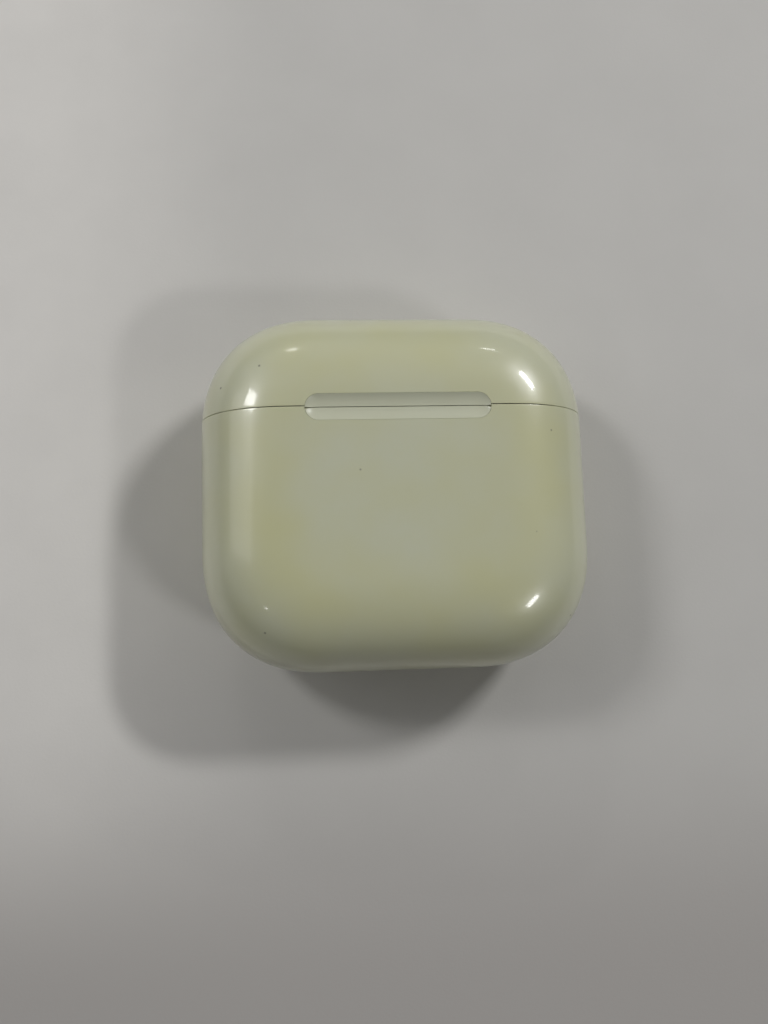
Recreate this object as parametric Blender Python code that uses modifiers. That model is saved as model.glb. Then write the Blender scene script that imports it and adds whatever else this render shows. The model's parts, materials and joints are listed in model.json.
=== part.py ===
"""Charging case for a pair of stem earbuds: a pebble-shaped box with a hinged lid.

The case lies on its front face, as on a table with its hinge side up.
X runs across its width, +Y towards the lid's end, and +Z out through the back face.
The origin is the middle of its footprint. Units are metres.
"""

import math

import bmesh
import bpy
from mathutils import Matrix, Vector

MM = 0.001

# Outer form
WIDTH = 50.1 * MM
HEIGHT = 46.2 * MM
DEPTH = 21.2 * MM
CORNER_RADIUS = 15.65 * MM
CORNER_POWER = 2.31
EDGE_WIDTH = 12.2 * MM
EDGE_POWER = 2.36
WALL = 1.3 * MM
SEAM_Y = 9.34 * MM
SEAM_GAP = 0.12 * MM
LINER_GAP = 0.12 * MM
MIDDLE_Z = DEPTH / 2

# Hinge: the pin lies inside the body, below the seam and under the back face, so that the lid's edge
# rises clear of the body as it turns.
PIN_BELOW_SEAM = 1.7 * MM
PIN_UNDER_BACK = 1.3 * MM
PIN_Y = SEAM_Y - PIN_BELOW_SEAM
PIN_Z = DEPTH - PIN_UNDER_BACK
PIN_RADIUS = 0.38 * MM
PIN_HALF_LENGTH = 6.3 * MM
BORE_RADIUS = 0.42 * MM
EYE_RADIUS = 0.8 * MM
KNUCKLE_RADIUS = 1.0 * MM
ARM_X = 3.2 * MM
ARM_WIDTH = 2.0 * MM
ARM_INNER = 2.3 * MM
ARM_OUTER = 3.1 * MM
ARM_THICKNESS = 0.88 * MM
ROLL_RADIUS = 1.8 * MM
RUNNING_GAP = 0.05 * MM
LINER_SWEEP = 2.25 * MM
LINER_SWEEP_HALF = 17 * MM

# The shallow finger-wide trough that the two hinge leaves show at the back
TROUGH_HALF_LENGTH = 11.46 * MM
TROUGH_HALF_HEIGHT = 1.62 * MM
TROUGH_DEPTH = 0.45 * MM
TROUGH_Y = SEAM_Y - 0.11 * MM
LEAF_GAP = 0.06 * MM
LEAF_BOTTOM_Z = DEPTH - 2.2 * MM
WING_HALF_WIDTH = 8.0 * MM
WING_TOP_Z = DEPTH - WALL - 0.4 * MM
WING_THICKNESS = 0.7 * MM
SCREW_X = 6.4 * MM
LID_SCREW_Y = 12.3 * MM
BODY_SCREW_Y = 4.6 * MM

# Wells
BOWL_X = 9.3 * MM
BOWL_Z = 9.8 * MM
BOWL_RADII = Vector((7.5, 8.4, 6.8)) * MM
LID_BOWL_X = 11.3 * MM
LID_BOWL_RADII = Vector((8.7, 9.0, 6.8)) * MM
BOWL_WALL = 0.85 * MM
STEM_X = 17.2 * MM
STEM_RADIUS = 3.3 * MM
STEM_WALL = 0.7 * MM
STEM_FLOOR_Y = -15.5 * MM
STEM_FLOOR = 1.0 * MM
DECK_TOP_Y = SEAM_Y - 0.14 * MM
DECK_THICKNESS = 1.2 * MM
LID_DECK_Y = SEAM_Y + 0.16 * MM

# Spring contacts at the foot of each stem well
CONTACT_OFFSET = 1.2 * MM
CONTACT_PROUD = 0.8 * MM
BARREL_RADIUS = 0.6 * MM
BARREL_BOTTOM_Y = -18.0 * MM
BARREL_BORE = 0.42 * MM
PLUNGER_RADIUS = 0.37 * MM
PLUNGER_LENGTH = 2.2 * MM

# Charging port
PORT_WIDTH = 8.94 * MM
PORT_HEIGHT = 3.16 * MM
PORT_METAL = 0.3 * MM
PORT_MOUTH_Y = -22.7 * MM
PORT_LENGTH = 7.3 * MM
PORT_SCREW_X = 6.9 * MM

# Board, cell and coil
BOARD_TOP_Z = MIDDLE_Z - PORT_HEIGHT / 2 - 0.3 * MM
BOARD_THICKNESS = 0.8 * MM
CELL_LOW = Vector((-12.0, -14.5, 9.9)) * MM
CELL_HIGH = Vector((12.0, -2.5, 17.5)) * MM
COIL_Y = -7.0 * MM
COIL_INNER = 4.2 * MM
COIL_OUTER = 8.4 * MM
LIGHT_Y = 3.0 * MM

# Facets
PEBBLE_AROUND = 56
PEBBLE_RINGS = 18
ROUND = 24
FINE = 16

for stale in list(bpy.data.objects):
    bpy.data.objects.remove(stale)

case_parts = bpy.data.collections.new("earbuds_case")
cutters = bpy.data.collections.new("cutters")
bpy.context.scene.collection.children.link(case_parts)
bpy.context.scene.collection.children.link(cutters)


def finish(name, colour, roughness, metallic=0.0):
    """A material of one colour, for the parts that share it."""
    material = bpy.data.materials.new(name)
    material.use_nodes = True
    shader = material.node_tree.nodes["Principled BSDF"]
    shader.inputs["Base Color"].default_value = (*colour, 1.0)
    shader.inputs["Roughness"].default_value = roughness
    shader.inputs["Metallic"].default_value = metallic
    return material


SHELL_PLASTIC = finish("shell_plastic", (0.64, 0.66, 0.49), 0.22)
TRAY_PLASTIC = finish("tray_plastic", (0.68, 0.69, 0.58), 0.25)
COATED_METAL = finish("coated_metal", (0.62, 0.64, 0.48), 0.3, 0.1)
STEEL = finish("steel", (0.56, 0.57, 0.58), 0.28, 1.0)
GOLD_PLATE = finish("gold_plate", (0.83, 0.62, 0.28), 0.25, 1.0)
MAGNET_NICKEL = finish("magnet_nickel", (0.6, 0.6, 0.58), 0.2, 1.0)
CELL_FOIL = finish("cell_foil", (0.5, 0.51, 0.52), 0.4, 0.8)
FOAM = finish("foam", (0.03, 0.03, 0.03), 0.9)
BOARD_RESIN = finish("board_resin", (0.02, 0.09, 0.05), 0.45)
CHIP_RESIN = finish("chip_resin", (0.02, 0.02, 0.02), 0.5)
FLEX_FILM = finish("flex_film", (0.45, 0.2, 0.04), 0.4)
COPPER = finish("copper", (0.72, 0.33, 0.17), 0.35, 1.0)
FERRITE = finish("ferrite", (0.05, 0.05, 0.055), 0.6)
SILICONE = finish("silicone", (0.55, 0.55, 0.5), 0.6)
TONGUE_RESIN = finish("tongue_resin", (0.03, 0.03, 0.03), 0.4)
CLEAR_RESIN = finish("clear_resin", (0.85, 0.86, 0.82), 0.15)


def place(name, mesh, material=None):
    """Puts a mesh in the scene as a part, or as a cutter when it has no material."""
    solid = bpy.data.objects.new(name, mesh)
    if material:
        mesh.materials.append(material)
        case_parts.objects.link(solid)
        mesh.shade_smooth()
        mesh.set_sharp_from_angle(angle=math.radians(40))
    else:
        cutters.objects.link(solid)
        solid.hide_render = True
        solid.display_type = "WIRE"
    return solid


def mesh_from(name, bm):
    mesh = bpy.data.meshes.new(name)
    bm.to_mesh(mesh)
    bm.free()
    return mesh


def block(name, low, high, material=None):
    """A box between two corners."""
    low, high = Vector(low), Vector(high)
    bm = bmesh.new()
    bmesh.ops.create_cube(bm, size=1.0)
    bmesh.ops.scale(bm, vec=high - low, verts=bm.verts)
    bmesh.ops.translate(bm, vec=(low + high) / 2, verts=bm.verts)
    return place(name, mesh_from(name, bm), material)


def rod(name, start, end, radius, material=None, sides=ROUND):
    """A round rod from one point to another."""
    start, end = Vector(start), Vector(end)
    bm = bmesh.new()
    bmesh.ops.create_cone(
        bm,
        cap_ends=True,
        segments=sides,
        radius1=radius,
        radius2=radius,
        depth=(end - start).length,
        matrix=Matrix.Translation((start + end) / 2)
        @ (end - start).to_track_quat("Z", "Y").to_matrix().to_4x4(),
    )
    return place(name, mesh_from(name, bm), material)


def ellipsoid(name, centre, radii):
    """An egg-shaped cutter with its poles along Y."""
    bm = bmesh.new()
    bmesh.ops.create_uvsphere(bm, u_segments=ROUND, v_segments=14, radius=1.0)
    bmesh.ops.rotate(bm, matrix=Matrix.Rotation(math.pi / 2, 3, "X"), verts=bm.verts)
    bmesh.ops.scale(bm, vec=radii, verts=bm.verts)
    bmesh.ops.translate(bm, vec=centre, verts=bm.verts)
    return place(name, mesh_from(name, bm))


def turned(name, profile, centre, axis, material=None, sides=ROUND):
    """A turned solid: profile is (radius, height) from its top to its bottom, and axis is where its top points."""
    mesh = bpy.data.meshes.new(name)
    points = [(radius, 0.0, height) for radius, height in profile]
    mesh.from_pydata(points, [(i, i + 1) for i in range(len(points) - 1)], [])
    solid = place(name, mesh, material)
    solid.location = centre
    solid.rotation_euler = Vector(axis).to_track_quat("Z", "Y").to_euler()
    screw = solid.modifiers.new("turn", "SCREW")
    screw.axis = "Z"
    screw.steps = sides
    screw.render_steps = sides
    screw.use_merge_vertices = True
    screw.merge_threshold = 0.000001
    screw.use_smooth_shade = True
    return solid


def arc(centre, radius, start, end, steps):
    """Points on an arc in degrees, both ends included."""
    angles = [math.radians(start + (end - start) * i / steps) for i in range(steps + 1)]
    return [
        (centre[0] + radius * math.cos(a), centre[1] + radius * math.sin(a))
        for a in angles
    ]


def plate(name, outline, thickness, turn, centre, material=None):
    """A flat outline, extruded both ways by half its thickness, as a mesh."""
    curve = bpy.data.curves.new(name, "CURVE")
    curve.dimensions = "2D"
    curve.fill_mode = "BOTH"
    curve.extrude = thickness / 2
    spline = curve.splines.new("POLY")
    spline.points.add(len(outline) - 1)
    for point, (x, y) in zip(spline.points, outline):
        point.co = (x, y, 0.0, 1.0)
    spline.use_cyclic_u = True
    return made_mesh(name, curve, Matrix.Translation(centre) @ turn, material)


def made_mesh(name, curve, matrix, material):
    """Turns a curve into a closed mesh part with its caps welded."""
    sketch = bpy.data.objects.new(name + "_sketch", curve)
    cutters.objects.link(sketch)
    graph = bpy.context.evaluated_depsgraph_get()
    mesh = bpy.data.meshes.new_from_object(sketch.evaluated_get(graph))
    mesh.transform(matrix)
    bm = bmesh.new()
    bm.from_mesh(mesh)
    bmesh.ops.remove_doubles(bm, verts=bm.verts, dist=0.000001)
    bmesh.ops.recalc_face_normals(bm, faces=bm.faces)
    bm.to_mesh(mesh)
    bm.free()
    bpy.data.objects.remove(sketch)
    return place(name, mesh, material)


def wire(name, points, radius, material):
    """A round wire along a row of points."""
    curve = bpy.data.curves.new(name, "CURVE")
    curve.dimensions = "3D"
    curve.bevel_depth = radius
    curve.bevel_resolution = 2
    curve.use_fill_caps = True
    spline = curve.splines.new("POLY")
    spline.points.add(len(points) - 1)
    for point, place_at in zip(spline.points, points):
        point.co = (*place_at, 1.0)
    return made_mesh(name, curve, Matrix.Identity(4), material)


def boolean(solid, other, operation):
    step = solid.modifiers.new(other.name, "BOOLEAN")
    step.operation = operation
    step.solver = "EXACT"
    step.object = other


def cut(solid, *others):
    for other in others:
        boolean(solid, other, "DIFFERENCE")


def join(solid, *others):
    for other in others:
        boolean(solid, other, "UNION")


def bevel(solid, width, segments=2):
    step = solid.modifiers.new("bevel", "BEVEL")
    step.width = width
    step.segments = segments
    step.limit_method = "ANGLE"
    step.harden_normals = False


# Rotations that lay a flat outline, drawn in XY, into the YZ plane or the XZ plane
INTO_YZ = Matrix(((0, 0, 1, 0), (1, 0, 0, 0), (0, 1, 0, 0), (0, 0, 0, 1)))
INTO_XZ = Matrix(((1, 0, 0, 0), (0, 0, -1, 0), (0, 1, 0, 0), (0, 0, 0, 1)))


# The pebble form


def edge_height(inset_from_side):
    """How far the faces stand from the middle plane, this far in from the rim of the outline."""
    if inset_from_side >= EDGE_WIDTH:
        return DEPTH / 2
    along = 1.0 - inset_from_side / EDGE_WIDTH
    return DEPTH / 2 * (1.0 - along**EDGE_POWER) ** (1.0 / EDGE_POWER)


def pebble(inset=0.0):
    """The case's form as a bmesh, shrunk all round by inset.

    A sphere's rings become copies of the rounded-rectangle outline, each further in and further from the
    middle plane, along a superellipse. The last ring bounds the flat face.
    """
    bm = bmesh.new()
    bmesh.ops.create_uvsphere(
        bm, u_segments=PEBBLE_AROUND, v_segments=PEBBLE_RINGS, radius=1.0
    )
    half_step = math.pi / PEBBLE_AROUND
    last_ring = math.pi / 2 - math.pi / PEBBLE_RINGS
    straight_x = WIDTH / 2 - CORNER_RADIUS
    straight_y = HEIGHT / 2 - CORNER_RADIUS
    for vertex in bm.verts:
        rise = math.asin(max(-1.0, min(1.0, vertex.co.z)))
        side = math.copysign(1.0, rise)
        if abs(rise) > last_ring + half_step / 4:
            vertex.co = (0.0, 0.0, MIDDLE_Z + side * (DEPTH / 2 - inset))
            continue
        profile = min(abs(rise) / last_ring, 1.0) * math.pi / 2
        inwards = (EDGE_WIDTH - inset) * (
            1.0 - abs(math.cos(profile)) ** (2.0 / EDGE_POWER)
        )
        height = (DEPTH / 2 - inset) * math.sin(profile) ** (2.0 / EDGE_POWER)
        around = (math.atan2(vertex.co.y, vertex.co.x) + half_step) % (2 * math.pi)
        quarter = int(around // (math.pi / 2))
        within = around - quarter * math.pi / 2
        if quarter % 2:
            within = math.pi / 2 - within
        turn = (within - half_step) / (math.pi / 2 - 2 * half_step) * math.pi / 2
        turn = max(0.0, min(math.pi / 2, turn))
        radius = CORNER_RADIUS - inset - inwards
        x = straight_x + radius * math.cos(turn) ** (2.0 / CORNER_POWER)
        y = straight_y + radius * math.sin(turn) ** (2.0 / CORNER_POWER)
        vertex.co = (
            x if quarter in (0, 3) else -x,
            y if quarter in (0, 1) else -y,
            MIDDLE_Z + side * height,
        )
    return bm


def trim(bm, y, keep_above, fill):
    """Cuts a pebble at a height along Y and keeps one side."""
    towards = -1.0 if keep_above else 1.0
    bmesh.ops.bisect_plane(
        bm,
        geom=bm.verts[:] + bm.edges[:] + bm.faces[:],
        plane_co=(0.0, y, 0.0),
        plane_no=(0.0, towards, 0.0),
        clear_outer=True,
        dist=0.0000001,
    )
    if fill:
        bmesh.ops.holes_fill(bm, edges=[e for e in bm.edges if e.is_boundary])


def shell(name, y, keep_above):
    """One of the two outer shells: the pebble's skin on one side of the seam, made a wall thick inwards."""
    bm = pebble()
    trim(bm, y, keep_above, fill=False)
    solid = place(name, mesh_from(name, bm), SHELL_PLASTIC)
    wall = solid.modifiers.new("wall", "SOLIDIFY")
    wall.thickness = WALL
    wall.offset = -1.0
    wall.use_even_offset = True
    wall.use_rim = True
    return solid


def deck(name, low_y, high_y):
    """A plate across the inside of the case, between two heights along Y."""
    bm = pebble(WALL + LINER_GAP)
    trim(bm, low_y, keep_above=True, fill=True)
    trim(bm, high_y, keep_above=False, fill=True)
    bmesh.ops.recalc_face_normals(bm, faces=bm.faces)
    return place(name, mesh_from(name, bm), TRAY_PLASTIC)


# Shapes that both hinge leaves share


def stadium(name, grow, low_z, high_z):
    """The trough's outline as an upright prism."""
    radius = TROUGH_HALF_HEIGHT + grow
    middle = TROUGH_HALF_LENGTH - TROUGH_HALF_HEIGHT
    outline = arc((middle, 0.0), radius, -90, 90, 10)
    outline += arc((-middle, 0.0), radius, 90, 270, 10)
    centre = (0.0, TROUGH_Y, (low_z + high_z) / 2)
    return plate(name, outline, high_z - low_z, Matrix.Identity(4), centre)


def trough_cutter():
    """A long round-ended bar, sunk into the back face by the trough's depth."""
    radius = (TROUGH_HALF_HEIGHT**2 + TROUGH_DEPTH**2) / (2 * TROUGH_DEPTH)
    middle = TROUGH_HALF_LENGTH - TROUGH_HALF_HEIGHT
    top = arc((0.0, middle), radius, 90, 0, 10)
    bottom = arc((0.0, -middle), radius, 0, -90, 10)
    centre = (0.0, TROUGH_Y, DEPTH + radius - TROUGH_DEPTH)
    return turned("trough_cutter", top + bottom, centre, (1, 0, 0), sides=64)


def round_bar(name, half_length, radius, sides=48):
    """A round bar on the hinge's axis."""
    return rod(
        name,
        (-half_length, PIN_Y, PIN_Z),
        (half_length, PIN_Y, PIN_Z),
        radius,
        sides=sides,
    )


def lid_edge_cutter():
    """A turned form on the hinge's axis that hollows the foot of the lid's back wall.

    Its radius at each place across the width is the distance from the axis to the lid's outer edge.
    """
    reach = WIDTH / 2 - EDGE_WIDTH
    while edge_height(WIDTH / 2 - reach) + MIDDLE_Z > PIN_Z:
        reach += 0.25 * MM
    places = [reach - 2 * reach * i / 40 for i in range(41)]
    profile = [(0.0, reach + 0.01 * MM)]
    for across in places:
        rise = max(0.0, edge_height(WIDTH / 2 - abs(across)) + MIDDLE_Z - PIN_Z)
        profile.append((math.hypot(PIN_BELOW_SEAM, rise) + RUNNING_GAP, across))
    profile.append((0.0, -reach - 0.01 * MM))
    return turned(
        "lid_edge_cutter", profile, (0, PIN_Y, PIN_Z), (1, 0, 0), sides=72
    )


def notch(solid):
    cut(
        solid,
        stadium(solid.name + "_notch", LEAF_GAP, LEAF_BOTTOM_Z - 1 * MM, DEPTH + 1 * MM),
    )


def screw_holes(solid, y, low_z, high_z):
    for side in (-1, 1):
        hole = rod(
            f"{solid.name}_screw_hole_{side}",
            (side * SCREW_X, y, low_z),
            (side * SCREW_X, y, high_z),
            0.56 * MM,
            sides=FINE,
        )
        cut(solid, hole)


def make_outer_shells():
    lid = shell("lid_outer_shell", SEAM_Y + SEAM_GAP / 2, keep_above=True)
    cut(lid, lid_edge_cutter())
    notch(lid)
    screw_holes(lid, LID_SCREW_Y, WING_TOP_Z, DEPTH - 0.5 * MM)
    body = shell("body_outer_shell", SEAM_Y - SEAM_GAP / 2, keep_above=False)
    notch(body)
    screw_holes(body, BODY_SCREW_Y, WING_TOP_Z, DEPTH - 0.5 * MM)
    mouth = rounded_bar(
        "port_mouth",
        PORT_WIDTH + 0.26 * MM,
        PORT_HEIGHT + 0.26 * MM,
        -25 * MM,
        -20 * MM,
    )
    light_hole = rod(
        "light_hole", (0, LIGHT_Y, -1 * MM), (0, LIGHT_Y, 3 * MM), 0.62 * MM, sides=FINE
    )
    pin_room = round_bar("pin_room", 6.65 * MM, KNUCKLE_RADIUS + LEAF_GAP)
    cut(body, mouth, light_hole, pin_room)


def rounded_bar(name, width, height, low_y, high_y, material=None):
    """A bar along Y with the charging port's racetrack section."""
    radius = height / 2
    middle = width / 2 - radius
    outline = arc((middle, 0.0), radius, -90, 90, 8)
    outline += arc((-middle, 0.0), radius, 90, 270, 8)
    centre = (0.0, (low_y + high_y) / 2, MIDDLE_Z)
    return plate(name, outline, high_y - low_y, INTO_XZ, centre, material)


def arm(name, side):
    """A gooseneck arm: it leaves the pin inwards, passes under the rolled edge and joins the lid's leaf."""
    lead = 0.08 * MM
    trail = lead - ARM_THICKNESS
    turn_back = math.degrees(math.atan2(-ARM_OUTER, trail))
    outline = [(trail, 0.0)]
    outline += arc((0.0, 0.0), ARM_OUTER, turn_back, 12, 12)
    outline += arc((0.0, 0.0), ARM_INNER, 12, -88, 10)
    outline += [(lead, 0.0)]
    centre = (side * ARM_X, PIN_Y, PIN_Z)
    return plate(name, outline, ARM_WIDTH, INTO_YZ, centre)


def arm_slot(name, side):
    """The room that an arm sweeps through in the body's leaf."""
    roof_slope = math.tan(math.radians(15))
    reach = 3.4 * MM
    roof = 0.17 * MM
    back = -0.95 * MM
    outline = [
        (back, -reach),
        (reach, -reach),
        (reach, roof + roof_slope * reach),
        (0.0, roof),
        (back, roof),
    ]
    centre = (side * ARM_X, PIN_Y, PIN_Z)
    return plate(name, outline, ARM_WIDTH + 0.24 * MM, INTO_YZ, centre)


def wing(name, low_y, high_y):
    low = (-WING_HALF_WIDTH, low_y, WING_TOP_Z - WING_THICKNESS)
    return block(name, low, (WING_HALF_WIDTH, high_y, WING_TOP_Z))


def leaf_blank(name, low_y, high_y):
    """The stretch of the trough's prism that one leaf fills, as a coated metal part."""
    blank = block(
        name,
        (-TROUGH_HALF_LENGTH - 1 * MM, low_y, LEAF_BOTTOM_Z),
        (TROUGH_HALF_LENGTH + 1 * MM, high_y, DEPTH),
        COATED_METAL,
    )
    outline = stadium(name + "_outline", 0.0, LEAF_BOTTOM_Z - 1 * MM, DEPTH + 1 * MM)
    boolean(blank, outline, "INTERSECT")
    return blank


def make_hinge(trough):
    split = SEAM_Y - 0.1 * MM
    lid_leaf = leaf_blank("hinge_lid_leaf", split, TROUGH_Y + 3 * MM)
    cut(lid_leaf, round_bar("lid_leaf_sweep", 12 * MM, ROLL_RADIUS + LEAF_GAP))
    cut(lid_leaf, trough)
    join(lid_leaf, wing("lid_wing", 9.9 * MM, 14.0 * MM))
    for side in (-1, 1):
        eye = rod(
            f"lid_eye_{side}",
            ((side * ARM_X) - ARM_WIDTH / 2, PIN_Y, PIN_Z),
            ((side * ARM_X) + ARM_WIDTH / 2, PIN_Y, PIN_Z),
            EYE_RADIUS,
        )
        join(lid_leaf, arm(f"lid_arm_{side}", side), eye)
    cut(lid_leaf, round_bar("lid_bore", 8 * MM, BORE_RADIUS + 0.01 * MM, sides=FINE))
    screw_holes(lid_leaf, LID_SCREW_Y, 17 * MM, DEPTH)

    body_leaf = leaf_blank("hinge_body_leaf", TROUGH_Y - 3 * MM, TROUGH_Y + 3 * MM)
    boolean(body_leaf, round_bar("roll", 12 * MM, ROLL_RADIUS), "INTERSECT")
    cut(body_leaf, trough)
    join(body_leaf, wing("body_wing", 2.6 * MM, 8.0 * MM))
    for side in (-1, 1):
        knuckle = rod(
            f"body_knuckle_{side}",
            (side * 4.4 * MM, PIN_Y, PIN_Z),
            (side * 6.5 * MM, PIN_Y, PIN_Z),
            KNUCKLE_RADIUS,
        )
        join(body_leaf, knuckle)
    cut(body_leaf, round_bar("spring_room", 4.35 * MM, 0.9 * MM, sides=ROUND))
    for side in (-1, 1):
        cut(body_leaf, arm_slot(f"arm_slot_{side}", side))
    spring_window = block(
        "spring_window",
        (-2.2 * MM, PIN_Y - 0.95 * MM, LEAF_BOTTOM_Z - 2 * MM),
        (2.2 * MM, PIN_Y + 2.5 * MM, PIN_Z),
    )
    cut(body_leaf, spring_window)
    cut(body_leaf, round_bar("body_bore", 8 * MM, BORE_RADIUS, sides=FINE))
    screw_holes(body_leaf, BODY_SCREW_Y, 17 * MM, DEPTH - WALL)

    rod(
        "hinge_pin",
        (-PIN_HALF_LENGTH, PIN_Y, PIN_Z),
        (PIN_HALF_LENGTH, PIN_Y, PIN_Z),
        PIN_RADIUS,
        STEEL,
        sides=FINE,
    )
    make_hinge_spring()
    for name, y in (("lid", LID_SCREW_Y), ("body", BODY_SCREW_Y)):
        for hand, side in (("left", -1), ("right", 1)):
            make_screw(
                f"{name}_hinge_screw_{hand}",
                (side * SCREW_X, y, WING_TOP_Z - WING_THICKNESS),
                (0, 0, -1),
                1.7 * MM,
            )


def make_hinge_spring():
    """A torsion spring on the pin, with a leg under each leaf's wing."""
    turns = 5
    per_turn = 9
    coil_radius = 0.6 * MM
    half_length = 1.5 * MM
    points = [(-half_length, PIN_Y - 2.6 * MM, PIN_Z - 1.3 * MM)]
    points.append((-half_length, PIN_Y - 0.7 * MM, PIN_Z - 1.2 * MM))
    for i in range(turns * per_turn + 1):
        angle = -math.pi / 2 - 2 * math.pi * i / per_turn
        across = -half_length + 2 * half_length * i / (turns * per_turn)
        points.append(
            (
                across,
                PIN_Y + coil_radius * math.cos(angle),
                PIN_Z + coil_radius * math.sin(angle),
            )
        )
    points.append((half_length, PIN_Y + 0.7 * MM, PIN_Z - 1.2 * MM))
    points.append((half_length, PIN_Y + 3.0 * MM, PIN_Z - 1.3 * MM))
    wire("hinge_spring", points, 0.1 * MM, STEEL)


def make_screw(name, under_head, axis, length):
    """A pan-head screw: its head points along axis and its shank the other way."""
    profile = [
        (0.0, 0.35 * MM),
        (0.35 * MM, 0.35 * MM),
        (0.45 * MM, 0.6 * MM),
        (0.85 * MM, 0.6 * MM),
        (1.0 * MM, 0.4 * MM),
        (1.0 * MM, 0.04 * MM),
        (0.5 * MM, 0.04 * MM),
        (0.5 * MM, 0.3 * MM - length),
        (0.2 * MM, -length),
        (0.0, -length),
    ]
    turned(name, profile, under_head, axis, STEEL, sides=12)


def make_tray():
    """The deck and wells that hold the buds in the body."""
    tray = deck("earbud_tray", DECK_TOP_Y - DECK_THICKNESS, DECK_TOP_Y)
    grow = Vector((BOWL_WALL, BOWL_WALL, BOWL_WALL))
    above = block(
        "above_deck", (-30 * MM, DECK_TOP_Y, -5 * MM), (30 * MM, 30 * MM, 30 * MM)
    )
    for side in (-1, 1):
        bowl_at = (side * BOWL_X, DECK_TOP_Y, BOWL_Z)
        join(tray, ellipsoid(f"bowl_outside_{side}", bowl_at, BOWL_RADII + grow))
        tube = rod(
            f"stem_outside_{side}",
            (side * STEM_X, STEM_FLOOR_Y - STEM_FLOOR, MIDDLE_Z),
            (side * STEM_X, DECK_TOP_Y - 0.3 * MM, MIDDLE_Z),
            STEM_RADIUS + STEM_WALL,
        )
        join(tray, tube)
    cut(tray, above)
    for side in (-1, 1):
        bowl_at = (side * BOWL_X, DECK_TOP_Y + 0.01 * MM, BOWL_Z)
        bore = rod(
            f"stem_bore_{side}",
            (side * STEM_X, STEM_FLOOR_Y, MIDDLE_Z),
            (side * STEM_X, DECK_TOP_Y + 5 * MM, MIDDLE_Z),
            STEM_RADIUS,
        )
        cut(tray, ellipsoid(f"bowl_inside_{side}", bowl_at, BOWL_RADII), bore)
        for offset in (-CONTACT_OFFSET, CONTACT_OFFSET):
            x = side * STEM_X + offset
            hole = rod(
                f"contact_hole_{x:.4f}",
                (x, STEM_FLOOR_Y - 3 * MM, MIDDLE_Z),
                (x, STEM_FLOOR_Y + 1 * MM, MIDDLE_Z),
                BARREL_RADIUS + 0.05 * MM,
                sides=FINE,
            )
            cut(tray, hole)
    wing_room = block(
        "tray_wing_room", (-8.4 * MM, 2.4 * MM, 17.9 * MM), (8.4 * MM, 12 * MM, 22 * MM)
    )
    roll_room = block(
        "tray_roll_room",
        (-11.9 * MM, 5.5 * MM, 18.7 * MM),
        (11.9 * MM, 12 * MM, 22 * MM),
    )
    arm_room = block(
        "tray_arm_room", (-4.6 * MM, 6.4 * MM, 16.4 * MM), (4.6 * MM, 12 * MM, 22 * MM)
    )
    cut(tray, wing_room, roll_room, arm_room)


def make_liner():
    """The lid's inside, with a hollow over each bud's head."""
    liner = deck("lid_inner_liner", LID_DECK_Y, LID_DECK_Y + DECK_THICKNESS)
    grow = Vector((BOWL_WALL, BOWL_WALL, BOWL_WALL))
    below = block(
        "below_lid_deck", (-30 * MM, -30 * MM, -5 * MM), (30 * MM, LID_DECK_Y, 30 * MM)
    )
    for side in (-1, 1):
        bowl_at = (side * LID_BOWL_X, LID_DECK_Y, BOWL_Z)
        outside = ellipsoid(f"lid_bowl_outside_{side}", bowl_at, LID_BOWL_RADII + grow)
        join(liner, outside)
    cut(liner, below)
    for side in (-1, 1):
        bowl_at = (side * LID_BOWL_X, LID_DECK_Y - 0.01 * MM, BOWL_Z)
        cut(liner, ellipsoid(f"lid_bowl_inside_{side}", bowl_at, LID_BOWL_RADII))
    wing_room = block(
        "liner_wing_room", (-12 * MM, 8 * MM, 17.9 * MM), (12 * MM, 14.4 * MM, 22 * MM)
    )
    arm_room = block(
        "liner_arm_room", (-4.6 * MM, 8 * MM, 16.4 * MM), (4.6 * MM, 11.2 * MM, 22 * MM)
    )
    cut(liner, wing_room, arm_room, round_bar("liner_sweep", LINER_SWEEP_HALF, LINER_SWEEP))


def make_magnets():
    half = 1.8 * MM
    for hand, side in (("left", -1), ("right", 1)):
        x = side * 2.25 * MM
        block(
            f"lid_closure_magnet_{hand}",
            (x - half, LID_DECK_Y + DECK_THICKNESS + 0.1 * MM, 1.9 * MM),
            (x + half, LID_DECK_Y + DECK_THICKNESS + 2.1 * MM, 3.4 * MM),
            MAGNET_NICKEL,
        )
        block(
            f"body_closure_magnet_{hand}",
            (x - half, DECK_TOP_Y - DECK_THICKNESS - 2.1 * MM, 1.9 * MM),
            (x + half, DECK_TOP_Y - DECK_THICKNESS - 0.1 * MM, 3.4 * MM),
            MAGNET_NICKEL,
        )
        rod(
            f"earbud_magnet_{hand}",
            (side * BOWL_X, -2.0 * MM, BOWL_Z),
            (side * BOWL_X, -0.35 * MM, BOWL_Z),
            2.0 * MM,
            MAGNET_NICKEL,
            sides=ROUND,
        )


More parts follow.
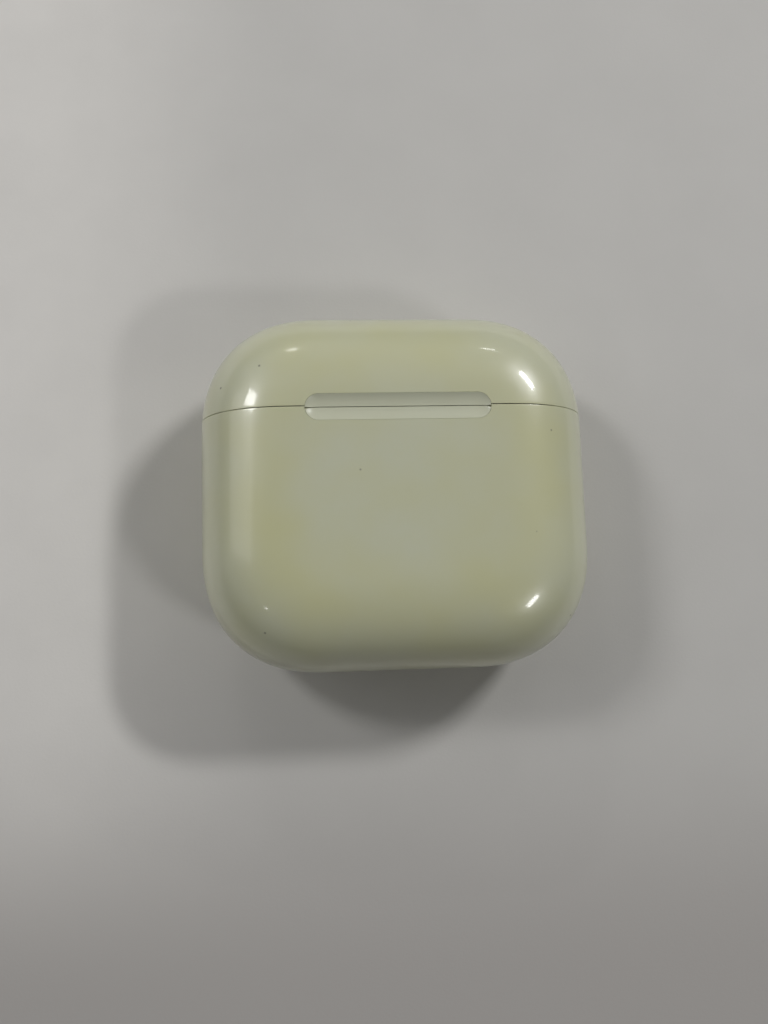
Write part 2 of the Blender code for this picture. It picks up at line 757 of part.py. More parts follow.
def make_contacts():
    """Two sprung pins at the foot of each stem well, each a plunger in a barrel over a spring."""
    for hand, side in (("left", -1), ("right", 1)):
        for place_name, offset in (("inner", -CONTACT_OFFSET), ("outer", CONTACT_OFFSET)):
            x = side * (STEM_X + offset)
            name = f"{hand}_{place_name}"
            depth = BARREL_BOTTOM_Y - STEM_FLOOR_Y + 0.2 * MM
            barrel = [
                (0.0, depth),
                (BARREL_BORE, depth),
                (BARREL_BORE, 0.0),
                (BARREL_RADIUS, 0.0),
                (BARREL_RADIUS, depth - 0.2 * MM),
                (0.0, depth - 0.2 * MM),
            ]
            at_floor = (x, STEM_FLOOR_Y, MIDDLE_Z)
            turned(f"contact_barrel_{name}", barrel, at_floor, (0, 1, 0), GOLD_PLATE, 14)
            dome = arc((0.0, CONTACT_PROUD - PLUNGER_RADIUS), PLUNGER_RADIUS, 90, 0, 3)
            foot = CONTACT_PROUD - PLUNGER_LENGTH
            plunger = [*dome, (PLUNGER_RADIUS, foot), (0.0, foot)]
            plunger[0] = (0.0, CONTACT_PROUD)
            turned(
                f"contact_plunger_{name}", plunger, at_floor, (0, 1, 0), GOLD_PLATE, 14
            )
            make_contact_spring(f"contact_spring_{name}", x, foot, depth)
        make_contact_flex(f"contact_flex_{hand}", side)


def make_contact_spring(name, x, top, bottom):
    turns = 3
    per_turn = 9
    wire_radius = 0.045 * MM
    top -= wire_radius + 0.02 * MM
    bottom += wire_radius + 0.02 * MM
    points = []
    for i in range(turns * per_turn + 1):
        angle = 2 * math.pi * i / per_turn
        y = bottom + (top - bottom) * i / (turns * per_turn)
        points.append(
            (
                x + 0.27 * MM * math.cos(angle),
                STEM_FLOOR_Y + y,
                MIDDLE_Z + 0.27 * MM * math.sin(angle),
            )
        )
    wire(name, points, wire_radius, STEEL)


def make_contact_flex(name, side):
    """A printed film that carries the two contacts to the board."""
    top = BARREL_BOTTOM_Y - 0.1 * MM
    foot = block(
        name,
        (min(side * 15.1, side * 19.3) * MM, top - 0.2 * MM, 9.6 * MM),
        (max(side * 15.1, side * 19.3) * MM, top, 11.6 * MM),
        FLEX_FILM,
    )
    link = block(
        name + "_link",
        (min(side * 10.2, side * 15.3) * MM, top - 0.19 * MM, 9.0 * MM),
        (max(side * 10.2, side * 15.3) * MM, top - 0.01 * MM, 10.3 * MM),
    )
    join(foot, link)


def make_port():
    """The charging socket at the foot of the case."""
    back_y = PORT_MOUTH_Y + PORT_LENGTH
    inner_width = PORT_WIDTH - 2 * PORT_METAL
    inner_height = PORT_HEIGHT - 2 * PORT_METAL
    can = rounded_bar(
        "port_shell", PORT_WIDTH, PORT_HEIGHT, PORT_MOUTH_Y, back_y, STEEL
    )
    hollow = rounded_bar(
        "port_hollow", inner_width, inner_height, PORT_MOUTH_Y - 1 * MM, back_y + 1 * MM
    )
    cut(can, hollow)
    root = rounded_bar(
        "port_tongue",
        inner_width - 0.1 * MM,
        inner_height - 0.1 * MM,
        back_y - 2.3 * MM,
        back_y - 0.05 * MM,
        TONGUE_RESIN,
    )
    blade = block(
        "port_blade",
        (-3.35 * MM, PORT_MOUTH_Y + 0.55 * MM, MIDDLE_Z - 0.35 * MM),
        (3.35 * MM, back_y - 2.0 * MM, MIDDLE_Z + 0.35 * MM),
    )
    join(root, blade)
    gasket = rounded_bar(
        "port_gasket",
        PORT_WIDTH + 2.0 * MM,
        PORT_HEIGHT + 2.0 * MM,
        -21.4 * MM,
        -20.7 * MM,
        SILICONE,
    )
    gasket_hole = rounded_bar(
        "gasket_hole",
        PORT_WIDTH + 0.12 * MM,
        PORT_HEIGHT + 0.12 * MM,
        -23 * MM,
        -20 * MM,
    )
    cut(gasket, gasket_hole)
    make_bracket()


def make_bracket():
    """A hat-shaped strap over the socket, with a screwed foot on each side."""
    foot_z = BOARD_TOP_Z + 0.06 * MM
    top_z = MIDDLE_Z + PORT_HEIGHT / 2 + 0.06 * MM
    sheet = 0.3 * MM
    inside = PORT_WIDTH / 2 + 0.1 * MM
    reach = 8.3 * MM
    half = [
        (inside, top_z),
        (inside, foot_z),
        (reach, foot_z),
        (reach, foot_z + sheet),
        (inside + sheet, foot_z + sheet),
        (inside + sheet, top_z + sheet),
    ]
    outline = half + [(-x, z) for x, z in reversed(half)]
    strap = plate(
        "port_bracket", outline, 3.0 * MM, INTO_XZ, (0, -18.9 * MM, 0), STEEL
    )
    for hand, side in (("left", -1), ("right", 1)):
        at = (side * PORT_SCREW_X, -18.9 * MM, foot_z + sheet)
        hole = rod(
            f"bracket_hole_{hand}",
            (at[0], at[1], foot_z - 1 * MM),
            (at[0], at[1], foot_z + 1 * MM),
            0.56 * MM,
            sides=FINE,
        )
        cut(strap, hole)
        make_screw(f"port_screw_{hand}", at, (0, 0, 1), 1.5 * MM)


def make_electronics():
    low_z = BOARD_TOP_Z - BOARD_THICKNESS
    board = block(
        "main_board",
        (-11.5 * MM, -20.3 * MM, low_z),
        (11.5 * MM, -2.0 * MM, BOARD_TOP_Z),
        BOARD_RESIN,
    )
    for side in (-1, 1):
        hole = rod(
            f"board_hole_{side}",
            (side * PORT_SCREW_X, -18.9 * MM, low_z - 1 * MM),
            (side * PORT_SCREW_X, -18.9 * MM, BOARD_TOP_Z + 1 * MM),
            0.56 * MM,
            sides=FINE,
        )
        cut(board, hole)
    shield_top = low_z - 0.05 * MM
    block(
        "board_shield",
        (-7 * MM, -13 * MM, shield_top - 1.4 * MM),
        (3 * MM, -4.5 * MM, shield_top),
        STEEL,
    )
    block(
        "charge_chip",
        (5 * MM, -12 * MM, shield_top - 0.8 * MM),
        (9 * MM, -8 * MM, shield_top),
        CHIP_RESIN,
    )
    cell = block("battery_cell", CELL_LOW, CELL_HIGH, CELL_FOIL)
    bevel(cell, 1.0 * MM, 3)
    block(
        "battery_pad",
        (-8 * MM, -12 * MM, CELL_HIGH.z + 0.04 * MM),
        (8 * MM, -4 * MM, CELL_HIGH.z + 0.4 * MM),
        FOAM,
    )
    block(
        "battery_lead",
        (6 * MM, CELL_LOW.y - 0.3 * MM, BOARD_TOP_Z + 0.05 * MM),
        (9 * MM, CELL_LOW.y - 0.1 * MM, 13.5 * MM),
        FLEX_FILM,
    )
    sheet_low = CELL_HIGH.z + 0.45 * MM
    rod(
        "ferrite_sheet",
        (0, COIL_Y, sheet_low),
        (0, COIL_Y, sheet_low + 0.35 * MM),
        COIL_OUTER + 0.4 * MM,
        FERRITE,
        sides=32,
    )
    coil_low = sheet_low + 0.4 * MM
    coil = [
        (COIL_INNER, 0.5 * MM),
        (COIL_OUTER, 0.5 * MM),
        (COIL_OUTER, 0.0),
        (COIL_INNER, 0.0),
        (COIL_INNER, 0.5 * MM),
    ]
    turned("charging_coil", coil, (0, COIL_Y, coil_low), (0, 0, 1), COPPER, sides=32)
    rod(
        "status_light_guide",
        (0, LIGHT_Y, 0.05 * MM),
        (0, LIGHT_Y, 2.4 * MM),
        0.55 * MM,
        CLEAR_RESIN,
        sides=FINE,
    )
    block(
        "status_led",
        (-0.8 * MM, LIGHT_Y - 0.5 * MM, 2.5 * MM),
        (0.8 * MM, LIGHT_Y + 0.5 * MM, 3.1 * MM),
        CLEAR_RESIN,
    )
    block(
        "lid_sensor",
        (-1.0 * MM, 6.6 * MM, 3.9 * MM),
        (1.0 * MM, 7.9 * MM, 4.6 * MM),
        CHIP_RESIN,
    )


def hang_lid():
    """Parents the lid's parts to an empty on the hinge's axis, so that it turns the whole lid about X."""
    pivot = bpy.data.objects.new("lid_pivot", None)
    pivot.empty_display_size = 5 * MM
    pivot.location = (0, PIN_Y, PIN_Z)
    case_parts.objects.link(pivot)
    bpy.context.view_layer.update()
    names = ["lid_outer_shell", "lid_inner_liner", "hinge_lid_leaf"]
    for hand in ("left", "right"):
        names += [f"lid_closure_magnet_{hand}", f"lid_hinge_screw_{hand}"]
    for name in names:
        solid = bpy.data.objects[name]
        solid.parent = pivot
        solid.matrix_parent_inverse = pivot.matrix_world.inverted()


back_trough = trough_cutter()
make_outer_shells()
make_hinge(back_trough)
make_tray()
make_liner()
make_magnets()
make_contacts()
make_port()
make_electronics()
hang_lid()
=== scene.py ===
# %% [markdown]
# # A charging case for stem earbuds
# The case lies on its front face with its hinge upwards: X runs across it, +Y towards the lid's end
# and +Z out through the back face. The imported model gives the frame. This script lays finer
# surfaces over the parts that show, gives every part a procedural finish, and lights the case as a
# small object on a sheet of paper.

# %% Load the frame
import json
import math

import bpy
import numpy as np
from mathutils import Matrix, Vector

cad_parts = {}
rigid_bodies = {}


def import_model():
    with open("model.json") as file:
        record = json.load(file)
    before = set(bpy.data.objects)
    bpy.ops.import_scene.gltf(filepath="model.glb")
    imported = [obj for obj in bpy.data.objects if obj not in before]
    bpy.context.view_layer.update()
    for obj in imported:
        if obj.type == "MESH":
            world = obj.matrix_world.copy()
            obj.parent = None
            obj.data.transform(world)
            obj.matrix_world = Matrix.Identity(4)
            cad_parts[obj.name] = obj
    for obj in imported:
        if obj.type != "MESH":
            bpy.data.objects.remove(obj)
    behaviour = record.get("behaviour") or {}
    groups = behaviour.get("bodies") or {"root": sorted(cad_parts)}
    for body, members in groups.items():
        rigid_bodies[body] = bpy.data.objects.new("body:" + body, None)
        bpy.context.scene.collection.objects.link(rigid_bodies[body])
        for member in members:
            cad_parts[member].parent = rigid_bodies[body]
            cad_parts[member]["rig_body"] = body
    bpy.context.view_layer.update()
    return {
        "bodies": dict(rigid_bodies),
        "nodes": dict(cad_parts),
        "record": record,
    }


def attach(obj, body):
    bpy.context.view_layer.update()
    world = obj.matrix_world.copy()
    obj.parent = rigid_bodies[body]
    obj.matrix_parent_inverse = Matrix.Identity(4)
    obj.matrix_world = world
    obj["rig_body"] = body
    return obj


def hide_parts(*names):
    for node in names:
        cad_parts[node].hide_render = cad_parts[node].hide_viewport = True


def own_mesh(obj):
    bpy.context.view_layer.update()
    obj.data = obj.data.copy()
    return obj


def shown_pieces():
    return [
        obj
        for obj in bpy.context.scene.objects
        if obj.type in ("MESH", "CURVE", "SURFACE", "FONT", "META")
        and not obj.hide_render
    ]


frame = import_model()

framed = set(frame["bodies"].values())
for stale in [o for o in bpy.data.objects if "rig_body" not in o and o not in framed]:
    bpy.data.objects.remove(stale)

# %% [markdown]
# ## The form in numbers
# All sizes are in millimetres until a mesh is made. The outline is a rectangle with long
# superelliptic corners, and the faces fall away to the rim along a superellipse too, which is what
# makes the case a pebble. A box with rounded edges would show where each arc starts, so the formula
# is used instead.

# %% Sizes
MM = 0.001
DEPTH = 21.2
MIDDLE_Z = DEPTH / 2
HALF_WIDTH = 50.1 / 2
HALF_HEIGHT = 46.2 / 2
CORNER_RADIUS = 15.65
CORNER_POWER = 2.31
EDGE_WIDTH = 12.2
EDGE_POWER = 2.36
STRAIGHT_X = HALF_WIDTH - CORNER_RADIUS
STRAIGHT_Y = HALF_HEIGHT - CORNER_RADIUS
WALL = 1.3
SEAM_Y = 9.34
SEAM_GAP = 0.07
SEAM_ROUND = 0.04

PIN_Y = SEAM_Y - 1.7
PIN_Z = DEPTH - 1.3
LEAF_GAP = 0.06
TROUGH_Y = SEAM_Y - 0.11
TROUGH_HALF_LENGTH = 11.46
TROUGH_HALF_HEIGHT = 1.62
PORT_HALF_WIDTH = 4.47
PORT_HALF_HEIGHT = 1.58
LIGHT_Y = 3.0

print(f"case {2 * HALF_WIDTH:.1f} x {2 * HALF_HEIGHT:.1f} x {DEPTH:.1f} mm")

# %% [markdown]
# ## Surfaces from formulas
# Each shape is a grid of points, worked out as whole arrays: rows of rings that a formula gives,
# joined by quads. Rings that shrink to a point or a line close the surface there. A modifier stack
# could round a box to much the same shape, but a formula says exactly where every point of the skin
# lies.

# %% Grids
MERGE_MM = 1e-5


def grid_mesh(name, points, wrap_rows=False):
    """A closed mesh from points[row, column]: quads between neighbours, with each row closed into a ring.

    wrap_rows joins the last ring to the first. Points that fall together, as at a pole, are merged.
    """
    rows, columns = points.shape[:2]
    row, column = np.meshgrid(
        np.arange(rows if wrap_rows else rows - 1), np.arange(columns), indexing="ij"
    )
    next_row, next_column = (row + 1) % rows, (column + 1) % columns
    quads = np.stack(
        [
            row * columns + column,
            row * columns + next_column,
            next_row * columns + next_column,
            next_row * columns + column,
        ],
        axis=-1,
    )
    return merged(name, points.reshape(-1, 3), quads.reshape(-1, 4))


def merged(name, points, quads):
    """A mesh whose coincident points are one: each point is rounded to 10 nm, and its first copy is kept.

    A quad with one side gone becomes a triangle, and one with more gone is dropped. A mesh that
    faces inwards, which its signed volume tells, is turned round.
    """
    rounded = np.round(points / MERGE_MM).astype(np.int64)
    _, first, index = np.unique(rounded, axis=0, return_index=True, return_inverse=True)
    quads = index.reshape(-1)[quads]
    has_side = quads != np.roll(quads, -1, axis=1)
    sides = has_side.sum(axis=1)
    threes = sides == 3
    triangles = quads[threes][has_side[threes]].reshape(-1, 3)
    mesh = bpy.data.meshes.new(name)
    faces = quads[sides == 4].tolist() + triangles.tolist()
    mesh.from_pydata((points[first] * MM).tolist(), [], faces)
    if signed_volume(mesh) < 0:
        mesh.flip_normals()
    return mesh


def signed_volume(mesh):
    """Six times the volume inside a closed mesh: the sum over its triangles of a . (b x c)."""
    mesh.calc_loop_triangles()
    corners = np.empty(len(mesh.loop_triangles) * 3, np.int32)
    mesh.loop_triangles.foreach_get("vertices", corners)
    places = np.empty(len(mesh.vertices) * 3, np.float32)
    mesh.vertices.foreach_get("co", places)
    a, b, c = places.reshape(-1, 3)[corners.reshape(-1, 3)].transpose(1, 0, 2)
    return float((a * np.cross(b, c)).sum())


def solid(name, mesh):
    """Puts a mesh in the scene, at the origin."""
    made = bpy.data.objects.new(name, mesh)
    bpy.context.scene.collection.objects.link(made)
    return made


print("points closer than", MERGE_MM, "mm are made one")

# %% [markdown]
# Most parts are lofts: rings in a row with both ends closed. Bars, slabs and turned solids are
# lofts of simple rings, and serve as the joined parts and as the tools that cut.

# %% Lofts


def loft(name, rings):
    """A closed solid through rings[row, column]: each end is closed by a fan to its ring's middle."""
    first = np.broadcast_to(rings[0].mean(axis=0), rings[0].shape)
    last = np.broadcast_to(rings[-1].mean(axis=0), rings[-1].shape)
    return solid(name, grid_mesh(name, np.concatenate([first[None], rings, last[None]])))


def bar(name, start, end, radius, sides=96):
    """A round bar: rings start + radius (cos a, sin a) in the plane square to its length."""
    start, end = np.array(start, float), np.array(end, float)
    along = (end - start) / np.linalg.norm(end - start)
    across = np.cross(along, np.roll(along, 1))
    upright = np.cross(along, across)
    angle = np.linspace(0, 2 * np.pi, sides, endpoint=False)[:, None]
    ring = radius * (np.cos(angle) * across + np.sin(angle) * upright)
    return loft(name, np.stack([start + ring, end + ring]))


def pin_bar(name, half_length, radius, sides=128):
    """A round bar on the hinge's axis."""
    return bar(name, (-half_length, PIN_Y, PIN_Z), (half_length, PIN_Y, PIN_Z), radius, sides)


def slab(name, low, high):
    """A box between two corners: two four-point rings."""
    (x0, y0, z0), (x1, y1, z1) = low, high
    ring = np.array([(x0, y0), (x1, y0), (x1, y1), (x0, y1)], float)
    heights = np.array([z0, z1], float)
    rings = np.empty((2, 4, 3))
    rings[..., :2] = ring
    rings[..., 2] = heights[:, None]
    return loft(name, rings)


def turned(name, radius, height, centre, sides=96):
    """A solid turned about an upright line along Y: radius and height are arrays down its profile.

    The ring at each height is centre + (radius cos a, height, radius sin a). A radius may be a pair
    of arrays for an oval ring, across and along Z.
    """
    angle = np.linspace(0, 2 * np.pi, sides, endpoint=False)
    across, upright = (radius, radius) if np.ndim(radius) == 1 else radius
    rings = np.empty((len(height), sides, 3))
    rings[..., 0] = centre[0] + np.outer(across, np.cos(angle))
    rings[..., 1] = centre[1] + np.asarray(height)[:, None]
    rings[..., 2] = centre[2] + np.outer(upright, np.sin(angle))
    return loft(name, rings)


def carve(body, operation, *tools):
    """Joins, cuts or intersects a solid with others, one Boolean each, and removes the tools."""
    for tool in tools:
        step = body.modifiers.new(tool.name, "BOOLEAN")
        step.operation = operation
        step.solver = "EXACT"
        step.object = tool
    graph = bpy.context.evaluated_depsgraph_get()
    mesh = bpy.data.meshes.new_from_object(body.evaluated_get(graph))
    body.modifiers.clear()
    body.data = mesh
    for tool in tools:
        bpy.data.objects.remove(tool)


sample = slab("sample", (0, 0, 0), (1, 1, 1))
print("six times a 1 mm cube, in mm3:", round(signed_volume(sample.data) / MM**3, 3))
bpy.data.objects.remove(sample)

# %% [markdown]
# ## The pebble's outlines
# The same pebble, drawn at a smaller inset, is the inside of the wall and the rim of the tray. So
# one function gives its section at any height up the case and at any inset.

# %% Outlines


def eased(steps, start=0.0, end=1.0):
    """Steps from start to end that bunch at both ends: half a cosine wave."""
    return start + (end - start) * (1 - np.cos(np.linspace(0, np.pi, steps))) / 2


def racetrack(half_width, half_height, steps=24):
    """A bar's round-ended section: half circles about the ends of a straight middle, as (across, up)."""
    angle = np.linspace(-np.pi / 2, np.pi / 2, steps)
    end = half_width - half_height
    right = np.stack([end + half_height * np.cos(angle), half_height * np.sin(angle)], axis=1)
    return np.concatenate([right, -right])


def sections(y, inset, sides=30, middle=24):
    """Rings of the pebble in planes of constant y, one for each y and inset.

    In plan, a point beyond the straight stretches by dx and dy lies r = (dx^n + dy^n)^(1/n) from
    the corner's centre, so it is d = R - inset - r in from the rim. The faces stand from the middle
    plane by (D - inset) (1 - (1 - d/w)^m)^(1/m), with w the edge's width, and are flat past it.
    """
    y, inset = (values[:, None] for values in np.broadcast_arrays(y, inset))
    radius = CORNER_RADIUS - inset
    beyond_y = np.clip(np.abs(y) - STRAIGHT_Y, 0, radius)
    reach = np.clip(radius**CORNER_POWER - beyond_y**CORNER_POWER, 0, None) ** (1 / CORNER_POWER)
    corner = reach * np.cos(np.linspace(0, np.pi / 2, sides)) ** (2 / EDGE_POWER)
    run = np.linspace(1, -1, middle)[1:-1] * STRAIGHT_X + 0 * y
    across = np.concatenate([STRAIGHT_X + corner, run, -STRAIGHT_X - corner[:, ::-1]], axis=1)
    beyond_x = np.clip(np.abs(across) - STRAIGHT_X, 0, None)
    from_centre = (beyond_x**CORNER_POWER + beyond_y**CORNER_POWER) ** (1 / CORNER_POWER)
    inwards = np.clip((radius - from_centre) / (EDGE_WIDTH - inset), 0, 1)
    rise = (MIDDLE_Z - inset) * (1 - (1 - inwards) ** EDGE_POWER) ** (1 / EDGE_POWER)
    level = y + 0 * across
    upper = np.stack([across, level, MIDDLE_Z + rise], axis=-1)
    lower = np.stack([across, level, MIDDLE_Z - rise], axis=-1)
    return np.concatenate([upper, lower[:, -2:0:-1]], axis=1)


def stations(inset):
    """Values of y from the case's foot to the lid's end, bunched where the skin turns over the ends."""
    climb = np.linspace(0, np.pi / 2, 46)
    beyond = STRAIGHT_Y + (CORNER_RADIUS - inset) * np.sin(climb) ** (2 / EDGE_POWER)
    straight = np.linspace(-STRAIGHT_Y, STRAIGHT_Y, 22)[1:-1]
    return np.concatenate([-beyond[::-1], straight, beyond])


print("pebble ring has", sections(np.zeros(1), 0.0).shape[1], "points")

# %% [markdown]
# ## The two outer shells
# The real shells are mouldings that meet at the seam. Each is one closed surface here: from the
# pole along the skin to the seam, round the seam's small edge radius, across the rim and back along
# the inside. The openings are then cut through it. A thickness modifier would make the wall too,
# but not the rim's rounded edge.

# %% Shells
RIM_CLEARANCE = 0.15
TOOL_LOW_Z = 18.0
TOOL_HIGH_Z = 22.2


def shell(name, seam, keep):
    """The pebble's wall on one side of the seam; keep is +1 for the lid's side and -1 for the body's."""
    outer, inner = (np.sort(keep * stations(inset))[::-1] * keep for inset in (0.0, WALL))
    outer = outer[keep * (outer - seam) > SEAM_ROUND + RIM_CLEARANCE]
    inner = inner[keep * (inner - seam) > SEAM_ROUND + RIM_CLEARANCE][::-1]
    turn = np.linspace(0, np.pi / 2, 7)
    down = keep * SEAM_ROUND * (1 - np.sin(turn))
    in_from_skin = SEAM_ROUND * (1 - np.cos(turn))
    y = np.concatenate([outer, seam + down, seam + down[::-1], inner])
    inset = np.concatenate([0 * outer, in_from_skin, WALL - in_from_skin[::-1], WALL + 0 * inner])
    return solid(name, grid_mesh(name, sections(y, inset)))


def leaf_notch(name):
    """The trough's outline, grown by the leaves' gap, as an upright prism through the back wall."""
    outline = racetrack(TROUGH_HALF_LENGTH + LEAF_GAP, TROUGH_HALF_HEIGHT + LEAF_GAP, 48)
    rings = np.empty((2, len(outline), 3))
    rings[..., :2] = outline + (0.0, TROUGH_Y)
    rings[..., 2] = np.array([TOOL_LOW_Z, TOOL_HIGH_Z])[:, None]
    return loft(name, rings)


def lid_edge_tool():
    """A form turned about the hinge's axis, whose radius at x is the axis's distance to the lid's edge."""
    tool_half_length = 21.0
    clearance = 0.05
    x = np.linspace(-1, 1, 121) * tool_half_length
    edge = sections(np.array([SEAM_Y]), 0.0)[0]
    upper = edge[edge[:, 2] >= MIDDLE_Z]
    order = np.argsort(upper[:, 0])
    edge_z = np.interp(x, upper[order, 0], upper[order, 2])
    shown = edge_z > PIN_Z
    x, edge_z = x[shown], edge_z[shown]
    radius = np.hypot(SEAM_Y - PIN_Y, edge_z - PIN_Z) + clearance
    angle = np.linspace(0, 2 * np.pi, 128, endpoint=False)
    rings = np.empty((len(x), len(angle), 3))
    rings[..., 0] = x[:, None]
    rings[..., 1] = PIN_Y + np.outer(radius, np.cos(angle))
    rings[..., 2] = PIN_Z + np.outer(radius, np.sin(angle))
    return loft("lid_edge_tool", rings)


def mouth_tool():
    """The socket's opening in the wall: the can's outline, grown by the gap round it, as a prism."""
    gap = 0.13
    outline = racetrack(PORT_HALF_WIDTH + gap, PORT_HALF_HEIGHT + gap)
    rings = np.empty((2, len(outline), 3))
    rings[..., 0] = outline[:, 0]
    rings[..., 1] = np.array([-25.0, -20.0])[:, None]
    rings[..., 2] = MIDDLE_Z + outline[:, 1]
    return loft("mouth_tool", rings)


lid_shell = shell("lid_shell", SEAM_Y + SEAM_GAP / 2, 1)
carve(lid_shell, "DIFFERENCE", lid_edge_tool(), leaf_notch("lid_notch"))
body_shell = shell("body_shell", SEAM_Y - SEAM_GAP / 2, -1)
carve(
    body_shell,
    "DIFFERENCE",
    leaf_notch("body_notch"),
    mouth_tool(),
    bar("light_hole", (0, LIGHT_Y, -1), (0, LIGHT_Y, 3), 0.62, 48),
    pin_bar("pin_room", 6.65, 1.06),
)
print("shells:", len(lid_shell.data.polygons), "and", len(body_shell.data.polygons), "faces")

# %% [markdown]
# ## The hinge leaves
# Together the two leaves show one shallow trough. Its floor is part of a circle across, carried
# round the ends: the depth depends only on how far a point lies from the trough's straight middle
# line. Behind it, two gooseneck arms carry the lid's leaf round the pin, and each leaf has a wing
# for its screws. Both leaves start as the same plug, so their halves of the trough always agree.

# %% Hinge sizes and plug
ROLL_RADIUS = 1.8
LEAF_GROWTH = 0.04
LEAF_SEAM = 0.09
LEAF_RIM = 0.04
LEAF_BOTTOM_Z = DEPTH - 2.2
LEAF_SPLIT_Y = SEAM_Y - 0.1
TROUGH_DEPTH = 0.45
TROUGH_END = TROUGH_HALF_LENGTH - TROUGH_HALF_HEIGHT
ARM_X = 3.2
ARM_WIDTH = 2.0
ARM_INNER = 2.3
ARM_OUTER = 3.1
EYE_RADIUS = 0.8
WING_HALF_WIDTH = 8.0
WING_TOP_Z = DEPTH - WALL - 0.4
WING_LOW_Z = WING_TOP_Z - 0.7
SCREW_X = 6.4
LID_SCREW_Y = 12.3
BODY_SCREW_Y = 4.6


def leaf_plug(name):
    """The trough's whole plug: its floor, a fine rim, the upright wall and the underside.

    At a distance p from the middle line the floor stands at DEPTH + R - T - sqrt(R^2 - p^2), where R
    is the radius that meets the back face at the rim and T is the trough's depth.
    """
    half_height = TROUGH_HALF_HEIGHT + LEAF_GROWTH
    radius = (half_height**2 + TROUGH_DEPTH**2) / (2 * TROUGH_DEPTH)
    out = eased(30) * (half_height - LEAF_RIM)
    floor = DEPTH + radius - TROUGH_DEPTH - np.sqrt(radius**2 - out**2)
    turn = np.linspace(0, np.pi / 2, 6)[1:]
    over = half_height - LEAF_RIM + LEAF_RIM * np.sin(turn)
    edge = floor[-1] - LEAF_RIM * (1 - np.cos(turn))
    out = np.concatenate([out, over, [half_height, 0.0]])
    height = np.concatenate([floor, edge, [LEAF_BOTTOM_Z, LEAF_BOTTOM_Z]])
    angle = np.linspace(-np.pi / 2, np.pi / 2, 40)
    side = np.concatenate([np.cos(angle), -np.cos(angle)])
    up = np.concatenate([np.sin(angle), -np.sin(angle)])
    rings = np.empty((len(out), len(side), 3))
    rings[..., 0] = np.outer(out, side) + np.repeat([TROUGH_END, -TROUGH_END], len(angle))
    rings[..., 1] = TROUGH_Y + np.outer(out, up)
    rings[..., 2] = height[:, None]
    return solid(name, grid_mesh(name, rings))


lid_leaf = leaf_plug("lid_leaf")
body_leaf = leaf_plug("body_leaf")
print("each plug has", len(lid_leaf.data.polygons), "faces")

# %% [markdown]
# Each arm is bent like a goose's neck, so that it passes under the body leaf's edge as the lid turns.
# It is a flat section swept about the pin, which keeps it at one distance from the axis by its own
# formula. The slots and holes are tools of the same kind, a little larger than what goes in them.

# %% Hinge arms, holes and slots


def arm(name, side):
    """A gooseneck arm: a flat section swept about the pin from below its axis to past the lid's edge."""
    trail = -0.8
    end_angle = math.radians(12)
    sweep = np.linspace(math.atan2(-ARM_OUTER, trail), end_angle, 48)[:, None]
    ring_radius = np.array([ARM_INNER, ARM_OUTER, ARM_OUTER, ARM_INNER])
    ring_x = side * ARM_X + ARM_WIDTH / 2 * np.array([-1, -1, 1, 1])
    rings = np.empty((len(sweep), 4, 3))
    rings[..., 0] = ring_x
    rings[..., 1] = PIN_Y + ring_radius * np.cos(sweep)
    rings[..., 2] = PIN_Z + ring_radius * np.sin(sweep)
    return loft(name, rings)


def neck(name, side):
    """The straight start of an arm, from the pin's eye down to the sweep."""
    low = (side * ARM_X - ARM_WIDTH / 2, PIN_Y - 0.8, PIN_Z - ARM_OUTER + 0.12)
    return slab(name, low, (side * ARM_X + ARM_WIDTH / 2, PIN_Y + 0.08, PIN_Z))


def eye(name, side):
    """The round end of an arm about the pin, as wide as the arm."""
    left = (side * ARM_X - ARM_WIDTH / 2, PIN_Y, PIN_Z)
    return bar(name, left, (side * ARM_X + ARM_WIDTH / 2, PIN_Y, PIN_Z), EYE_RADIUS)


def screw_holes(name, y):
    """Two upright bars that cut the holes for a leaf's screws."""
    return [
        bar(f"{name}_{side}", (side * SCREW_X, y, 17.0), (side * SCREW_X, y, 19.6), 0.56, 32)
        for side in (-1, 1)
    ]


def arm_slot(name, side):
    """The room an arm sweeps through: a sloping-roofed slot across the body's leaf."""
    back, roof, reach, side_gap = -0.95, 0.17, 3.4, 0.12
    far_roof = roof + reach * math.tan(math.radians(15))
    outline = np.array([(back, -reach), (reach, -reach), (reach, far_roof), (0.0, roof), (back, roof)])
    rings = np.empty((2, len(outline), 3))
    rings[..., 0] = (side * ARM_X + (ARM_WIDTH / 2 + side_gap) * np.array([-1, 1]))[:, None]
    rings[..., 1:] = outline + (PIN_Y, PIN_Z)
    return loft(name, rings)


print("arms from", ARM_INNER, "to", ARM_OUTER, "mm about the pin")

# %% [markdown]
# The lid's leaf keeps the plug's upper part and takes the arms, their eyes and a wing. The body's
# leaf keeps what lies inside a roll about the pin, so its edge never fouls the lid's leaf, and is
# cut away where the arms swing.

# %% Both leaves
carve(
    lid_leaf,
    "DIFFERENCE",
    slab("below_split", (-15, 0, 10), (15, LEAF_SPLIT_Y, 25)),
    pin_bar("leaf_sweep", 12.5, ROLL_RADIUS + LEAF_SEAM),
)
carve(
    lid_leaf,
    "UNION",
    slab("lid_wing", (-WING_HALF_WIDTH, 9.9, WING_LOW_Z), (WING_HALF_WIDTH, 14.0, WING_TOP_Z)),
    *[arm(f"arm_{side}", side) for side in (-1, 1)],
    *[neck(f"neck_{side}", side) for side in (-1, 1)],
    *[eye(f"eye_{side}", side) for side in (-1, 1)],
)
lid_bore = pin_bar("lid_bore", 8, 0.43, 32)
carve(lid_leaf, "DIFFERENCE", lid_bore, *screw_holes("lid_screw", LID_SCREW_Y))

